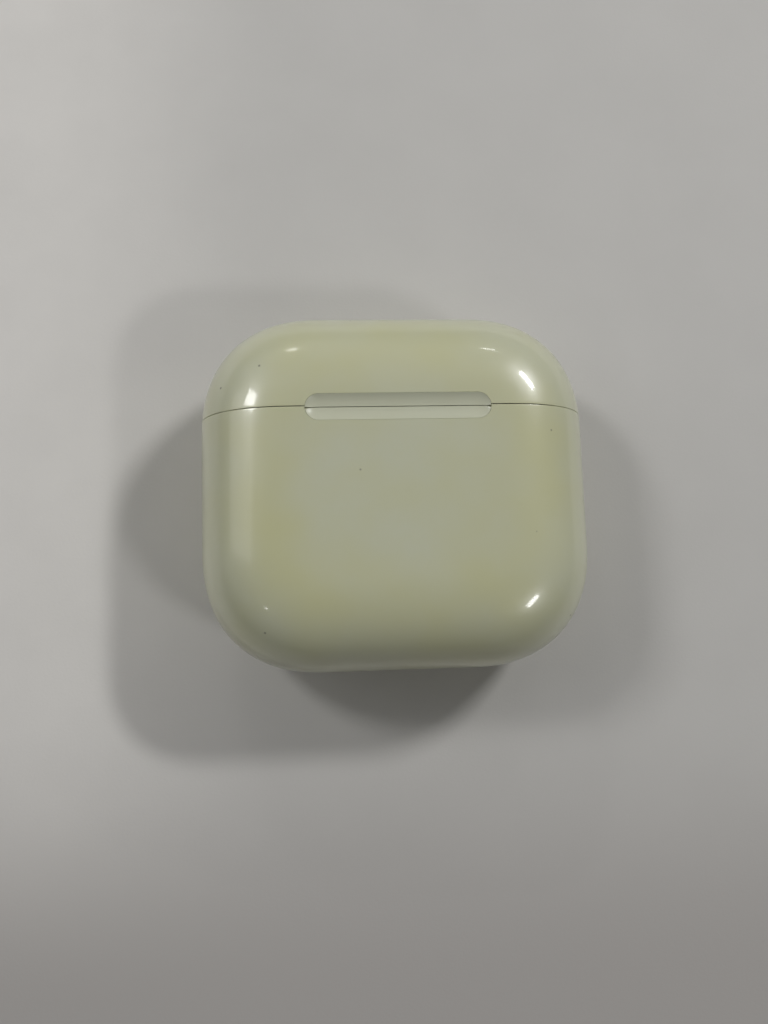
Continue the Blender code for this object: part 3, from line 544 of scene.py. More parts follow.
carve(body_leaf, "INTERSECT", pin_bar("roll", 12.5, ROLL_RADIUS, 192))
carve(
    body_leaf,
    "UNION",
    slab("body_wing", (-WING_HALF_WIDTH, 2.6, WING_LOW_Z), (WING_HALF_WIDTH, 8.0, WING_TOP_Z)),
    *[bar(f"knuckle_{s}", (s * 4.4, PIN_Y, PIN_Z), (s * 6.5, PIN_Y, PIN_Z), 1.0) for s in (-1, 1)],
)
carve(
    body_leaf,
    "DIFFERENCE",
    pin_bar("spring_room", 4.35, 0.9, 64),
    *[arm_slot(f"slot_{side}", side) for side in (-1, 1)],
    slab("spring_window", (-2.2, PIN_Y - 0.95, LEAF_BOTTOM_Z - 2), (2.2, PIN_Y + 2.5, PIN_Z)),
    pin_bar("body_bore", 8, 0.42, 32),
    *screw_holes("body_screw", BODY_SCREW_Y),
)
print("leaves:", len(lid_leaf.data.polygons), "and", len(body_leaf.data.polygons), "faces")

# %% [markdown]
# ## The tray and the lid's liner
# The real ones are mouldings that the earbuds sink into. Each is a plate that fills the inside,
# joined to egg-shaped bowls and stem tubes and then hollowed by tools whose mouths flare. Rounding
# the edges afterwards would need a bevel along curves where three surfaces meet; a flared tool
# gives the same edge with no bevel.

# %% Plates, eggs and wells
DECK_TOP_Y = SEAM_Y - 0.14
LID_DECK_Y = SEAM_Y + 0.16
DECK_THICKNESS = 1.2
LINER_INSET = WALL + 0.12
BOWL_WALL = 0.85
BOWL_RADII = (7.5, 8.4, 6.8)
LID_BOWL_RADII = (8.7, 9.0, 6.8)
BOWL_Z = 9.8
TRAY_BOWL_X = 9.3
LID_BOWL_X = 11.3
STEM_X = 17.2
STEM_FLOOR_Y = -15.5
STEM_RADIUS = 3.3
TUBE_RADIUS = 4.0
CONTACT_OFFSET = 1.2


def deck(name, low_y, high_y, edge=0.12):
    """A plate across the inside, with a fine edge radius all round its two faces."""
    turn = np.linspace(0, np.pi / 2, 5)
    in_from_side = edge * (1 - np.sin(turn))
    up = edge * (1 - np.cos(turn))
    y = np.concatenate([low_y + up, high_y - up[::-1]])
    inset = LINER_INSET + np.concatenate([in_from_side, in_from_side[::-1]])
    return loft(name, sections(y, inset))


def egg(name, centre, radii, grow, steps=40):
    """A whole egg: an oval ring shrinks towards each pole as a sine, while the height falls as a cosine."""
    climb = np.linspace(0, np.pi, steps)[1:-1]
    across = (radii[0] + grow) * np.sin(climb)
    upright = (radii[2] + grow) * np.sin(climb)
    return turned(name, (across, upright), (radii[1] + grow) * np.cos(climb), centre, 120)


def flared_egg(name, centre, radii, mouth, flare=0.45):
    """A bowl's hollow on one side of a deck: half an egg whose mouth widens along a quarter circle.

    mouth is +1 where the bowl opens towards +Y, as in the tray, and -1 where it opens towards -Y.
    """
    climb = np.linspace(np.pi, np.pi / 2, 36)[1:]
    bowl = radii[1] * np.cos(climb)
    growth = np.sin(climb)
    turn = np.linspace(0, np.pi / 2, 10)
    lip_height = -flare + flare * np.sin(turn)
    lip_growth = flare * (1 - np.cos(turn))
    below = bowl < -flare - 0.05
    height = np.concatenate([bowl[below], lip_height, [2.0]])
    inside = np.sqrt(1 - np.clip(lip_height / radii[1], -1, 0) ** 2)
    across = np.concatenate([radii[0] * growth[below], radii[0] * inside + lip_growth])
    upright = np.concatenate([radii[2] * growth[below], radii[2] * inside + lip_growth])
    across, upright = (np.append(values, values[-1]) for values in (across, upright))
    return turned(name, (across, upright), mouth * height, centre, 120)


def stem_bore(name, side):
    """A stem's well: a rounded floor, a straight wall and a flared mouth."""
    floor_round, flare = 0.5, 0.35
    turn = np.linspace(0, np.pi / 2, 9)
    foot = STEM_RADIUS - floor_round * (1 - np.sin(turn))
    mouth = STEM_RADIUS + flare * (1 - np.cos(turn))
    radius = np.concatenate([foot, [STEM_RADIUS], mouth, mouth[-1:]])
    floor = STEM_FLOOR_Y + floor_round * (1 - np.cos(turn))
    lip = DECK_TOP_Y - flare * (1 - np.sin(turn))
    height = np.concatenate([floor, [0.0], lip, [DECK_TOP_Y + 3.0]])
    return turned(name, radius, height, (side * STEM_X, 0.0, MIDDLE_Z))


def tube(name, side):
    """The outside of a stem's well: a round bar from under its floor to just inside the deck."""
    foot = (side * STEM_X, STEM_FLOOR_Y - 1.0, MIDDLE_Z)
    return bar(name, foot, (side * STEM_X, DECK_TOP_Y - 0.3, MIDDLE_Z), TUBE_RADIUS)


def contact_hole(name, x):
    """A fine bar through a well's floor, for a contact's pin."""
    return bar(name, (x, STEM_FLOOR_Y - 3, MIDDLE_Z), (x, STEM_FLOOR_Y + 1, MIDDLE_Z), 0.65, 32)


contact_xs = [s * STEM_X + d for s in (-1, 1) for d in (-CONTACT_OFFSET, CONTACT_OFFSET)]
print("contacts at x", [round(x, 1) for x in contact_xs])

# %% [markdown]
# The tray has bowls for the heads and wells for the stems. The liner has the two shallow domes over
# them. Both give the hinge its room at the back.

# %% Tray and liner
tray = deck("tray", DECK_TOP_Y - DECK_THICKNESS, DECK_TOP_Y)
bowl_centres = {s: (s * TRAY_BOWL_X, DECK_TOP_Y, BOWL_Z) for s in (-1, 1)}
dome_centres = {s: (s * LID_BOWL_X, LID_DECK_Y, BOWL_Z) for s in (-1, 1)}
carve(
    tray,
    "UNION",
    *[egg(f"bowl_{s}", centre, BOWL_RADII, BOWL_WALL) for s, centre in bowl_centres.items()],
    *[tube(f"tube_{s}", s) for s in (-1, 1)],
)
carve(tray, "DIFFERENCE", slab("above_deck", (-30, DECK_TOP_Y, -5), (30, 30, 30)))
carve(
    tray,
    "DIFFERENCE",
    *[flared_egg(f"hollow_{s}", centre, BOWL_RADII, 1) for s, centre in bowl_centres.items()],
    *[stem_bore(f"well_{s}", s) for s in (-1, 1)],
    *[contact_hole(f"pin_hole_{x:.1f}", x) for x in contact_xs],
    slab("wing_room", (-8.4, 2.4, 17.9), (8.4, 12, 22)),
    slab("roll_room", (-11.9, 5.5, 18.7), (11.9, 12, 22)),
    slab("arm_room", (-4.6, 6.4, 16.4), (4.6, 12, 22)),
)
liner = deck("liner", LID_DECK_Y, LID_DECK_Y + DECK_THICKNESS)
carve(
    liner,
    "UNION",
    *[egg(f"dome_{s}", centre, LID_BOWL_RADII, BOWL_WALL) for s, centre in dome_centres.items()],
)
carve(liner, "DIFFERENCE", slab("below_deck", (-30, -30, -5), (30, LID_DECK_Y, 30)))
carve(
    liner,
    "DIFFERENCE",
    *[flared_egg(f"recess_{s}", centre, LID_BOWL_RADII, -1) for s, centre in dome_centres.items()],
    slab("liner_wing_room", (-12, 8, 17.9), (12, 14.4, 22)),
    slab("liner_arm_room", (-4.6, 8, 16.4), (4.6, 11.2, 22)),
    pin_bar("liner_sweep", 17.0, 2.25),
)
print("tray", len(tray.data.polygons), "faces; liner", len(liner.data.polygons))

# %% [markdown]
# ## The socket, the contacts and the light
# The socket's can is a drawn tube with a rolled lip, so its section is carried up the outside and
# back down the inside. Its tongue carries a row of plated strips on each face. The contacts are
# domed pins, and the light shows through a clear rod.

# %% Socket
PORT_MOUTH_Y = -22.7
PORT_BACK_Y = -15.4


def socket_can():
    """A tube of racetrack section: its rings run up the outside, round the lip and back down the inside.

    Each ring is the outline moved inwards along its own normal by that row's inset.
    """
    lip = 0.15
    turn = np.linspace(0, np.pi, 9)
    rolled = PORT_MOUTH_Y + lip - lip * np.sin(turn)
    y = np.concatenate([[PORT_BACK_Y, PORT_MOUTH_Y + 0.4], rolled, [PORT_BACK_Y]])
    inset = np.concatenate([[0.0, 0.0], lip - lip * np.cos(turn), [2 * lip]])
    base = racetrack(PORT_HALF_WIDTH, PORT_HALF_HEIGHT, 32)
    end = np.sign(base[:, 0]) * (PORT_HALF_WIDTH - PORT_HALF_HEIGHT)
    normal = (base - np.stack([end, 0 * end], axis=1)) / PORT_HALF_HEIGHT
    rings = np.empty((len(y), len(base), 3))
    section = base - inset[:, None, None] * normal
    rings[..., 0] = section[..., 0]
    rings[..., 1] = y[:, None]
    rings[..., 2] = MIDDLE_Z + section[..., 1]
    return solid("socket_can", grid_mesh("socket_can", rings, wrap_rows=True))


def rounded_blade(name, half_width, half_height, front_y, back_y, edge):
    """A flat blade with a racetrack section whose front shrinks along a quarter circle."""
    turn = np.linspace(0, np.pi / 2, 7)
    shrink = np.append(edge * (1 - np.sin(turn)), 0.0)
    y = np.append(front_y + edge * (1 - np.cos(turn)), back_y)
    rings = np.empty((len(y), 48, 3))
    for row, less in enumerate(shrink):
        outline = racetrack(half_width - less, half_height - less, 24)
        rings[row, :, 0] = outline[:, 0]
        rings[row, :, 2] = MIDDLE_Z + outline[:, 1]
    rings[..., 1] = y[:, None]
    return loft(name, rings)


def strips(name, count=12, pitch=0.5, width=0.26):
    """Plated strips on both faces of the tongue: one flat box, repeated by adding regular offsets."""
    length, thickness, setback = 3.6, 0.04, 0.85
    corner = np.array([(x, y, z) for x in (-1, 1) for y in (0, 1) for z in (0, 1)], float)
    box = corner * (width / 2, length, thickness) + (0.0, PORT_MOUTH_Y + setback, 0.0)
    across = (np.arange(count) - (count - 1) / 2) * pitch
    offsets = np.array([(x, 0.0, z) for z in (MIDDLE_Z + 0.33, MIDDLE_Z - 0.37) for x in across])
    points = (box[None] + offsets[:, None]).reshape(-1, 3)
    quads = np.array([(0, 1, 3, 2), (4, 6, 7, 5), (0, 4, 5, 1), (2, 3, 7, 6), (0, 2, 6, 4), (1, 5, 7, 3)])
    faces = (quads[None] + 8 * np.arange(len(offsets))[:, None, None]).reshape(-1, 4)
    return solid(name, merged(name, points, faces))


can = socket_can()
tongue = rounded_blade("tongue", 3.35, 0.35, PORT_MOUTH_Y + 0.55, PORT_BACK_Y - 1.9, 0.18)
root = rounded_blade("tongue_root", 4.12, 1.23, PORT_BACK_Y - 2.3, PORT_BACK_Y - 0.05, 0.1)
carve(tongue, "UNION", root)
tongue_strips = strips("tongue_strips")
print("strips on the tongue:", len(tongue_strips.data.polygons) // 6)

# %% [markdown]
# A contact is a turned pin that an earbud's stem presses down, and the light's lens is a turned rod.
# Both are profiles carried round a line, since a lathe makes the real ones in the same way.

# %% Contacts and light


def plunger(name, x):
    """A sprung contact's pin: a dome whose radius follows a quarter circle, over a straight shank."""
    pin_radius, dome_foot, shank_end = 0.37, 0.43, -1.4
    turn = np.linspace(0, np.pi / 2, 14)[1:]
    radius = np.append(pin_radius * np.sin(turn), pin_radius)
    height = np.append(dome_foot + pin_radius * np.cos(turn), shank_end)
    return turned(name, radius, height, (x, STEM_FLOOR_Y, MIDDLE_Z), 40)


def light_lens():
    """A clear rod behind the light's opening, with a faintly domed front."""
    angle = np.linspace(0, 2 * np.pi, 48, endpoint=False)
    radius = np.array([0.15, 0.3, 0.42, 0.5, 0.55, 0.55])
    height = np.array([0.052, 0.058, 0.07, 0.09, 0.14, 2.4])
    rings = np.empty((len(radius), len(angle), 3))
    rings[..., 0] = np.outer(radius, np.cos(angle))
    rings[..., 1] = LIGHT_Y + np.outer(radius, np.sin(angle))
    rings[..., 2] = height[:, None]
    return loft("light_lens", rings)


lens = light_lens()
plungers = {
    f"{hand}_{place}": plunger(f"plunger_{hand}_{place}", side * (STEM_X + offset))
    for hand, side in (("left", -1), ("right", 1))
    for place, offset in (("inner", -CONTACT_OFFSET), ("outer", CONTACT_OFFSET))
}
print("pins:", ", ".join(plungers))

# %% [markdown]
# ## Finishes
# A finish could be a picture wrapped round the part, but then it would need unwrapping and would
# blur close up. Here every finish is worked out from Object coordinates instead, so it holds at any
# distance. They are metres here, so a pattern's scale is one over its size. Colours are written as
# screen colours and turned to linear light.

# %% Node tools


def linear(code):
    """A hex screen colour as linear light: c / 12.92 near black, and ((c + 0.055) / 1.055)^2.4 above."""
    channels = np.array([int(code[i : i + 2], 16) for i in (1, 3, 5)]) / 255
    light = np.where(channels <= 0.04045, channels / 12.92, ((channels + 0.055) / 1.055) ** 2.4)
    return (*light.tolist(), 1.0)


def add(tree, kind, inputs, **settings):
    """Adds a node: settings are its properties, and each input takes a value or another node's output."""
    node = tree.nodes.new("ShaderNode" + kind)
    for name, value in settings.items():
        setattr(node, name, value)
    for name, value in inputs.items():
        if isinstance(value, bpy.types.NodeSocket):
            tree.links.new(value, node.inputs[name])
        else:
            node.inputs[name].default_value = value
    return node


def finish(name, **shader):
    """A new material: its node tree, its shader with these inputs set, and the Object coordinates."""
    material = bpy.data.materials.new(name)
    material.use_nodes = True
    tree = material.node_tree
    bsdf = tree.nodes["Principled BSDF"]
    for key, value in shader.items():
        bsdf.inputs[key.replace("_", " ")].default_value = value
    return material, tree, bsdf, add(tree, "TexCoord", {}).outputs["Object"]


def per(size_mm):
    """A texture scale for features of this size."""
    return 1 / (size_mm * MM)


print("white is", linear("#FFFFFF"), "and a 1 mm pattern has scale", per(1.0))

# %% [markdown]
# Three habits serve every finish: patches of one size, a second colour laid over the first along a
# mask, and a last step that gives the shader its colour, roughness and relief together.

# %% Patches, overlays and surface
MIX_FACTOR, MIX_A, MIX_B, MIX_RESULT = 0, 6, 7, 2


def blotch(tree, at, size_mm, low, high, detail=2.0):
    """Patches of one size: noise that becomes a mask rising from 0 at low to 1 at high."""
    noise = add(tree, "TexNoise", {"Vector": at, "Scale": per(size_mm), "Detail": detail})
    rise = {"Value": noise.outputs["Fac"], "From Min": low, "From Max": high}
    return add(tree, "MapRange", rise).outputs["Result"]


def laid_over(tree, colour, mask, strength, other):
    """Lays another colour over a colour: the share of the second is the mask times the strength."""
    share = add(tree, "Math", {0: mask, 1: strength}, operation="MULTIPLY").outputs["Value"]
    mix = add(tree, "Mix", {MIX_FACTOR: share, MIX_A: colour, MIX_B: other}, data_type="RGBA")
    return mix.outputs[MIX_RESULT]


def surface(tree, bsdf, colour, rough_mask, roughness, height, deep_mm, strength=1.0):
    """Gives the shader a colour, a roughness between two values along a mask, and a relief this deep."""
    smoothest, roughest = roughness
    rough = add(tree, "MapRange", {"Value": rough_mask, "To Min": smoothest, "To Max": roughest})
    relief = add(tree, "Bump", {"Height": height, "Distance": deep_mm * MM, "Strength": strength})
    tree.links.new(colour, bsdf.inputs["Base Color"])
    tree.links.new(rough.outputs["Result"], bsdf.inputs["Roughness"])
    tree.links.new(relief.outputs["Normal"], bsdf.inputs["Normal"])


print("mix sockets", MIX_FACTOR, MIX_A, MIX_B, "and", MIX_RESULT)

# %% [markdown]
# ### Polycarbonate
# Both shells are gloss polycarbonate, moulded nearly white, and it has yellowed. A ring of warmer
# tint lies round the shoulders and fades at the rim. Over it come a ripple left by the
# mould, hazy rubbed areas, hairline scratches and a sparse scatter of dirt. A clear coat on the
# shader gives the sharp glints of a polished mould over the plastic's softer sheen.

# %% Plastics
COAT_ROUGHNESS = 0.09
SHOULDER_HALF_WIDTH = 23.0
SHOULDER_HALF_HEIGHT = 21.0
SPECK_SPACING = 2.4
DIRT_COLOUR = "#5A5442"


def shoulder_ring(tree, at):
    """A mask round the case's shoulders: it rises with the distance out in plan, and falls at the rim."""
    plan_scale = (per(SHOULDER_HALF_WIDTH), per(SHOULDER_HALF_HEIGHT), 0.0)
    plan = add(tree, "Mapping", {"Vector": at, "Scale": plan_scale}).outputs["Vector"]
    out = add(tree, "VectorMath", {0: plan}, operation="LENGTH").outputs["Value"]
    rise = add(tree, "MapRange", {"Value": out, "From Min": 0.4, "From Max": 0.75, "To Max": 0.55})
    fall = add(tree, "MapRange", {"Value": out, "From Min": 1.05, "From Max": 0.8, "To Min": 0.2})
    both = {0: rise.outputs["Result"], 1: fall.outputs["Result"]}
    return add(tree, "Math", both, operation="MULTIPLY").outputs["Value"]


def specks(tree, at, share):
    """A mask of round specks: the middles of Voronoi cells, kept in this share of the cells."""
    cells = add(tree, "TexVoronoi", {"Vector": at, "Scale": per(SPECK_SPACING)})
    middle = {"Value": cells.outputs["Distance"], "From Min": 0.085, "From Max": 0.04}
    near = add(tree, "MapRange", middle).outputs["Result"]
    chance = add(tree, "SeparateColor", {"Color": cells.outputs["Color"]}).outputs["Red"]
    rare = add(tree, "Math", {0: chance, 1: 1 - share}, operation="GREATER_THAN").outputs["Value"]
    return add(tree, "Math", {0: near, 1: rare}, operation="MULTIPLY").outputs["Value"]


def handled_plastic(name, tint, warm, roughness, dirt):
    """Gloss polycarbonate: its tint, a warmer tint, least roughness and the share of cells with a speck."""
    material, tree, bsdf, at = finish(name, IOR=1.58, Coat_Weight=0.6, Coat_Roughness=COAT_ROUGHNESS)
    patches = blotch(tree, at, 9.0, 0.42, 0.72, 1.5)
    # A warmer tint round the shoulders that fades at the rim, with random patches of it elsewhere.
    spread = {0: patches, 1: 0.4, 2: shoulder_ring(tree, at)}
    warm_tint_share = add(tree, "Math", spread, operation="MULTIPLY_ADD").outputs["Value"]
    colour = laid_over(tree, linear(tint), warm_tint_share, 1.0, linear(warm))
    colour = laid_over(tree, colour, blotch(tree, at, 1.3, 0.35, 0.75, 3.0), 0.10, linear(warm))
    colour = laid_over(tree, colour, specks(tree, at, dirt), 0.6, linear(DIRT_COLOUR))
    haze = blotch(tree, at, 3.5, 0.45, 0.7, 3.0)
    ripple = add(tree, "TexNoise", {"Vector": at, "Scale": per(2.2), "Detail": 1.0}).outputs["Fac"]
    drawn_out = {"Vector": at, "Rotation": (0.3, 0.2, 0.7), "Scale": (1.0, 14.0, 14.0)}
    scratched = add(tree, "Mapping", drawn_out).outputs["Vector"]
    hair = blotch(tree, scratched, 9.0, 0.70, 0.74, 0.0)
    height = add(tree, "Math", {0: ripple, 1: hair}, operation="SUBTRACT").outputs["Value"]
    surface(tree, bsdf, colour, haze, (roughness, roughness + 0.08), height, 0.004, 0.35)
    return material


# Polycarbonate, moulded glossy and carried about: a sharp glint over a warm, faintly stained white
shell_finish = handled_plastic("handled_polycarbonate", "#DBDDC2", "#D9D8A8", 0.30, 0.28)
# Polycarbonate of the inner parts, which hands don't reach: the same gloss, paler and clean
tray_finish = handled_plastic("inner_polycarbonate", "#D9DAC6", "#D5D4B8", 0.30, 0.0)
print("plastics:", shell_finish.name, tray_finish.name)

# %% [markdown]
# ### Sprayed zinc
# The hinge's leaves are zinc castings, lacquered to match the shells. Lacquer dries with a fine
# orange peel, so they look satin beside the plastic and their colour is a little flatter.

# %% Sprayed zinc


def sprayed_metal(name, tint, warm, roughness):
    """Lacquer over a casting: soft patches of a second tint, and a relief as fine as orange peel."""
    material, tree, bsdf, at = finish(name, IOR=1.5, Metallic=0.0)
    colour = laid_over(tree, linear(tint), blotch(tree, at, 2.5, 0.4, 0.7, 3.0), 0.35, linear(warm))
    rubbed = blotch(tree, at, 1.6, 0.35, 0.75, 2.0)
    peel = add(tree, "TexNoise", {"Vector": at, "Scale": per(0.35), "Detail": 2.0}).outputs["Fac"]
    surface(tree, bsdf, colour, rubbed, (roughness - 0.02, roughness + 0.03), peel, 0.0015, 0.3)
    return material


# Die-cast zinc, sprayed in the shell's colour: satin, and cooler than the handled plastic
leaf_finish = sprayed_metal("sprayed_zinc", "#D8DAC2", "#D4D5BB", 0.32)
print("lacquer:", leaf_finish.name)

# %% [markdown]
# ### Resins, rubbers and films
# The parts inside are moulded, pressed or laminated. One recipe serves them all: two close colours
# in clouds, a roughness that follows the clouds, and a grain whose size and depth are the
# material's own.

# %% Resins, rubbers and films
CLOUD_GRAINS = 6


def moulded(name, tint, other, roughness, grain_mm, deep_mm, ior=1.5):
    """Clouds six grains wide between two colours, over noise of the grain's own size as relief."""
    material, tree, bsdf, at = finish(name, IOR=ior)
    cloud = blotch(tree, at, grain_mm * CLOUD_GRAINS, 0.35, 0.7, 3.0)
    colour = laid_over(tree, linear(tint), cloud, 1.0, linear(other))
    grain = add(tree, "TexNoise", {"Vector": at, "Scale": per(grain_mm), "Detail": 4.0}).outputs["Fac"]
    surface(tree, bsdf, colour, cloud, (roughness - 0.05, roughness + 0.05), grain, deep_mm)
    return material


# Polyurethane foam, die-cut: dull black with open pores
foam_finish = moulded("polyurethane_foam", "#1E1E1F", "#2A2A2B", 0.92, 0.25, 0.12, 1.45)
# Glass-epoxy laminate under green solder resist: half gloss, with the weave just showing
board_finish = moulded("solder_resist", "#1E5A36", "#17472B", 0.42, 0.12, 0.01)
# Epoxy moulding compound: fine matt black
chip_finish = moulded("epoxy_compound", "#1B1B1C", "#232324", 0.55, 0.06, 0.004)
# Polyimide film over copper: smooth amber
film_finish = moulded("polyimide_film", "#A86A1E", "#8A5216", 0.35, 0.3, 0.004, 1.7)
# Sintered ferrite, ground flat: dark grey and dry
ferrite_finish = moulded("sintered_ferrite", "#3A3A3D", "#2E2E31", 0.62, 0.08, 0.004)
# Silicone rubber, compression-moulded: grey and slightly waxy
silicone_finish = moulded("silicone_rubber", "#BDBEB0", "#AEAFA1", 0.6, 0.15, 0.006, 1.43)
# Liquid-crystal polymer of the socket's tongue, moulded black: clean, with a low sheen
tongue_finish = moulded("black_polymer", "#161617", "#1F1F20", 0.4, 0.08, 0.003)
print("foam grain", per(0.25), "and ferrite grain", per(0.08))

# %% [markdown]
# ### Metals
# Bare and plated metals show how they were made by their streaks. Noise stretched along one
# direction draws them, and wider, softer patches of a second colour are tarnish.

# %% Metals
TARNISH_GRAINS = 12


def metal(name, tint, worn, roughness, grain_mm, stretch, deep_mm):
    """Streaks from noise scaled by a different amount along each axis, over tarnish twelve grains wide."""
    material, tree, bsdf, at = finish(name, Metallic=1.0)
    drawn = add(tree, "Mapping", {"Vector": at, "Scale": stretch}).outputs["Vector"]
    streaks = blotch(tree, drawn, grain_mm, 0.3, 0.7, 4.0)
    tarnish = blotch(tree, at, grain_mm * TARNISH_GRAINS, 0.4, 0.75, 2.0)
    colour = laid_over(tree, linear(tint), tarnish, 1.0, linear(worn))
    surface(tree, bsdf, colour, streaks, (roughness - 0.06, roughness + 0.08), streaks, deep_mm, 0.5)
    return material


# Stainless steel, cold-drawn: cool, with streaks along the tube
steel_finish = metal("drawn_stainless_steel", "#C6C7C9", "#A9A8A6", 0.26, 0.12, (1, 0.1, 1), 0.002)
# Gold over nickel, electroplated on brass: warm and bright
gold_finish = metal("gold_electroplate", "#E3BC6A", "#C59A4E", 0.22, 0.1, (1, 1, 1), 0.001)
# Nickel plate over sintered neodymium: a faintly yellow mirror
nickel_finish = metal("nickel_plate", "#C9C6BE", "#AEAAA0", 0.2, 0.2, (1, 1, 1), 0.002)
# Aluminium laminate of a pouch cell, cold-formed: pale and creased
foil_finish = metal("cell_laminate", "#B9BBBD", "#9C9DA0", 0.4, 0.5, (1, 1, 0.3), 0.01)
# Enamelled copper strand, wound flat: a deep orange with the turns as streaks
copper_finish = metal("wound_copper", "#C98358", "#A8643C", 0.32, 0.11, (1, 1, 0.2), 0.01)
print("steel streaks", per(0.12), "and copper turns", per(0.11))

# %% [markdown]
# ### The light guide, and the slots
# The light guide is clear acrylic with a trace of haze, so a faint dot shows on the front face. The
# slots are the frame's own names for what a part is made of, and each takes one of the finishes.

# %% Clear resin and slots


def clear_resin(name):
    """Mostly clear, with a haze that turns both the colour and the roughness up a little."""
    material, tree, bsdf, at = finish(name, IOR=1.49, Transmission_Weight=0.75)
    haze = blotch(tree, at, 0.3, 0.3, 0.8, 2.0)
    colour = laid_over(tree, linear("#D9DCCB"), haze, 1.0, linear("#C9CCB6"))
    rough = add(tree, "MapRange", {"Value": haze, "To Min": 0.08, "To Max": 0.2}).outputs["Result"]
    tree.links.new(colour, bsdf.inputs["Base Color"])
    tree.links.new(rough, bsdf.inputs["Roughness"])
    return material


# Acrylic, polished in the mould: clear, with a soft edge to what shows through
clear_finish = clear_resin("light_guide_acrylic")
finishes = {
    "shell_plastic": shell_finish,
    "tray_plastic": tray_finish,
    "coated_metal": leaf_finish,
    "steel": steel_finish,
    "gold_plate": gold_finish,
    "magnet_nickel": nickel_finish,
    "cell_foil": foil_finish,
    "foam": foam_finish,
    "board_resin": board_finish,
    "chip_resin": chip_finish,
    "flex_film": film_finish,
    "copper": copper_finish,
    "ferrite": ferrite_finish,
    "silicone": silicone_finish,
    "clear_resin": clear_finish,
}
print(len(finishes), "finishes")

# %% [markdown]
# ## Hang everything on the frame
# Each new piece rides on the body it belongs to and stands for the part it refines. Each contact's
# spring gets a mesh of its own. The parts that stay keep their shapes and take the finish of their
# slot.

# %% Ride and replace
SHARP_ANGLE = math.radians(32)


def show(piece, body, slot, material, *nodes):
    """Gives a piece its finish, smooths it, and ties it to its body and the parts it stands for."""
    piece.data.materials.clear()
    piece.data.materials.append(material)
    piece.data.shade_smooth()
    piece.data.set_sharp_from_angle(angle=SHARP_ANGLE)
    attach(piece, body)
    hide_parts(*nodes)


show(lid_shell, "lid", "shell_plastic", shell_finish, "lid_outer_shell")
show(body_shell, "case", "shell_plastic", shell_finish, "body_outer_shell")
show(lid_leaf, "lid", "coated_metal", leaf_finish, "hinge_lid_leaf")
show(body_leaf, "case", "coated_metal", leaf_finish, "hinge_body_leaf")
show(tray, "case", "tray_plastic", tray_finish, "earbud_tray")
show(liner, "lid", "tray_plastic", tray_finish, "lid_inner_liner")
show(can, "case", "steel", steel_finish, "port_shell")
show(tongue, "case", "chip_resin", tongue_finish, "port_tongue")
show(tongue_strips, "case", "gold_plate", gold_finish)
show(lens, "case", "clear_resin", clear_finish, "status_light_guide")
for place, piece in plungers.items():
    show(piece, f"{place}_contact", "gold_plate", gold_finish, f"contact_plunger_{place}")
    spring = frame["nodes"][f"contact_spring_{place}"]
    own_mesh(spring)

for row in frame["record"]["subparts"]:
    part = frame["nodes"][row["node"]]
    if not part.hide_render:
        part.data.materials.clear()
        part.data.materials.append(finishes[row["material_slot"]])
shown = [piece.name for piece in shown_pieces()]
print(len(shown), "pieces shown:", ", ".join(shown))

# %% [markdown]
# ## The sheet
# The case lies on matt paper. The light falls off across a real sheet in a room, more than small
# lamps can show, so the paper's own tint carries it: whiter on the left and greyer towards the
# foot.

# %% Paper
PAPER_HALF_SIZE = 400.0
PAPER_Z = -0.01


def slope(tree, at, axis, start_mm, end_mm):
    """A mask that eases from 0 to 1 along one axis, between two places."""
    place = add(tree, "SeparateXYZ", {"Vector": at}).outputs[axis]
    rise = {"Value": place, "From Min": start_mm * MM, "From Max": end_mm * MM}
    return add(tree, "MapRange", rise, interpolation_type="SMOOTHSTEP").outputs["Result"]


def paper_finish():
    """Uncoated cotton paper: felt-pressed tooth, uneven whiteness, painted light that whitens the left and
    painted shade that greys it towards the foot.
    """
    material, tree, bsdf, at = finish("uncoated_paper", IOR=1.45, Roughness=0.9)
    # Painted light and shade: the sheet is whiter towards the left and greyer towards the foot.
    painted_light_left, painted_shade_foot = slope(tree, at, "X", -12, -52), slope(tree, at, "Y", -28, -66)
    colour = laid_over(tree, linear("#DCDAD6"), painted_light_left, 1.0, linear("#F4F1EC"))
    colour = laid_over(tree, colour, painted_shade_foot, 1.0, linear("#C4C0BC"))
    colour = laid_over(tree, colour, blotch(tree, at, 14.0, 0.35, 0.7, 3.0), 0.12, linear("#C4C2BE"))
    tooth = add(tree, "TexNoise", {"Vector": at, "Scale": per(0.4), "Detail": 4.0}).outputs["Fac"]
    relief = add(tree, "Bump", {"Height": tooth, "Distance": 0.03 * MM, "Strength": 0.5})
    tree.links.new(colour, bsdf.inputs["Base Color"])
    tree.links.new(relief.outputs["Normal"], bsdf.inputs["Normal"])
    return material


def sheet_surface(half_size, steps=80):
    """A flat square grid, a hair below the case so that the two never lie in one plane: z is constant."""
    line = np.linspace(-half_size, half_size, steps)
    x, y = np.meshgrid(line, line, indexing="ij")
    points = np.stack([x, y, np.full_like(x, PAPER_Z)], axis=-1).reshape(-1, 3)
    row, column = np.meshgrid(np.arange(steps - 1), np.arange(steps - 1), indexing="ij")
    corner = (row * steps + column).reshape(-1)
    quads = np.stack([corner, corner + steps, corner + steps + 1, corner + 1], axis=1)
    mesh = bpy.data.meshes.new("sheet")
    mesh.from_pydata((points * MM).tolist(), [], quads.tolist())
    return solid("paper_sheet", mesh)


paper = sheet_surface(PAPER_HALF_SIZE)
paper.data.materials.append(paper_finish())
print("sheet of", len(paper.data.polygons), "faces")

# %% [markdown]
# ## The lamps
# A gloss pebble mirrors each lamp as a bright spot whose shape is the lamp's. So one broad ceiling
# and one window light the room, and small ceiling lamps stand where each glint on the shoulders
# needs one. A lamp's width and length set its glint's, and its watts set how dark a shadow it
# leaves.

# %% Lamps
WORLD_STRENGTH = 0.012


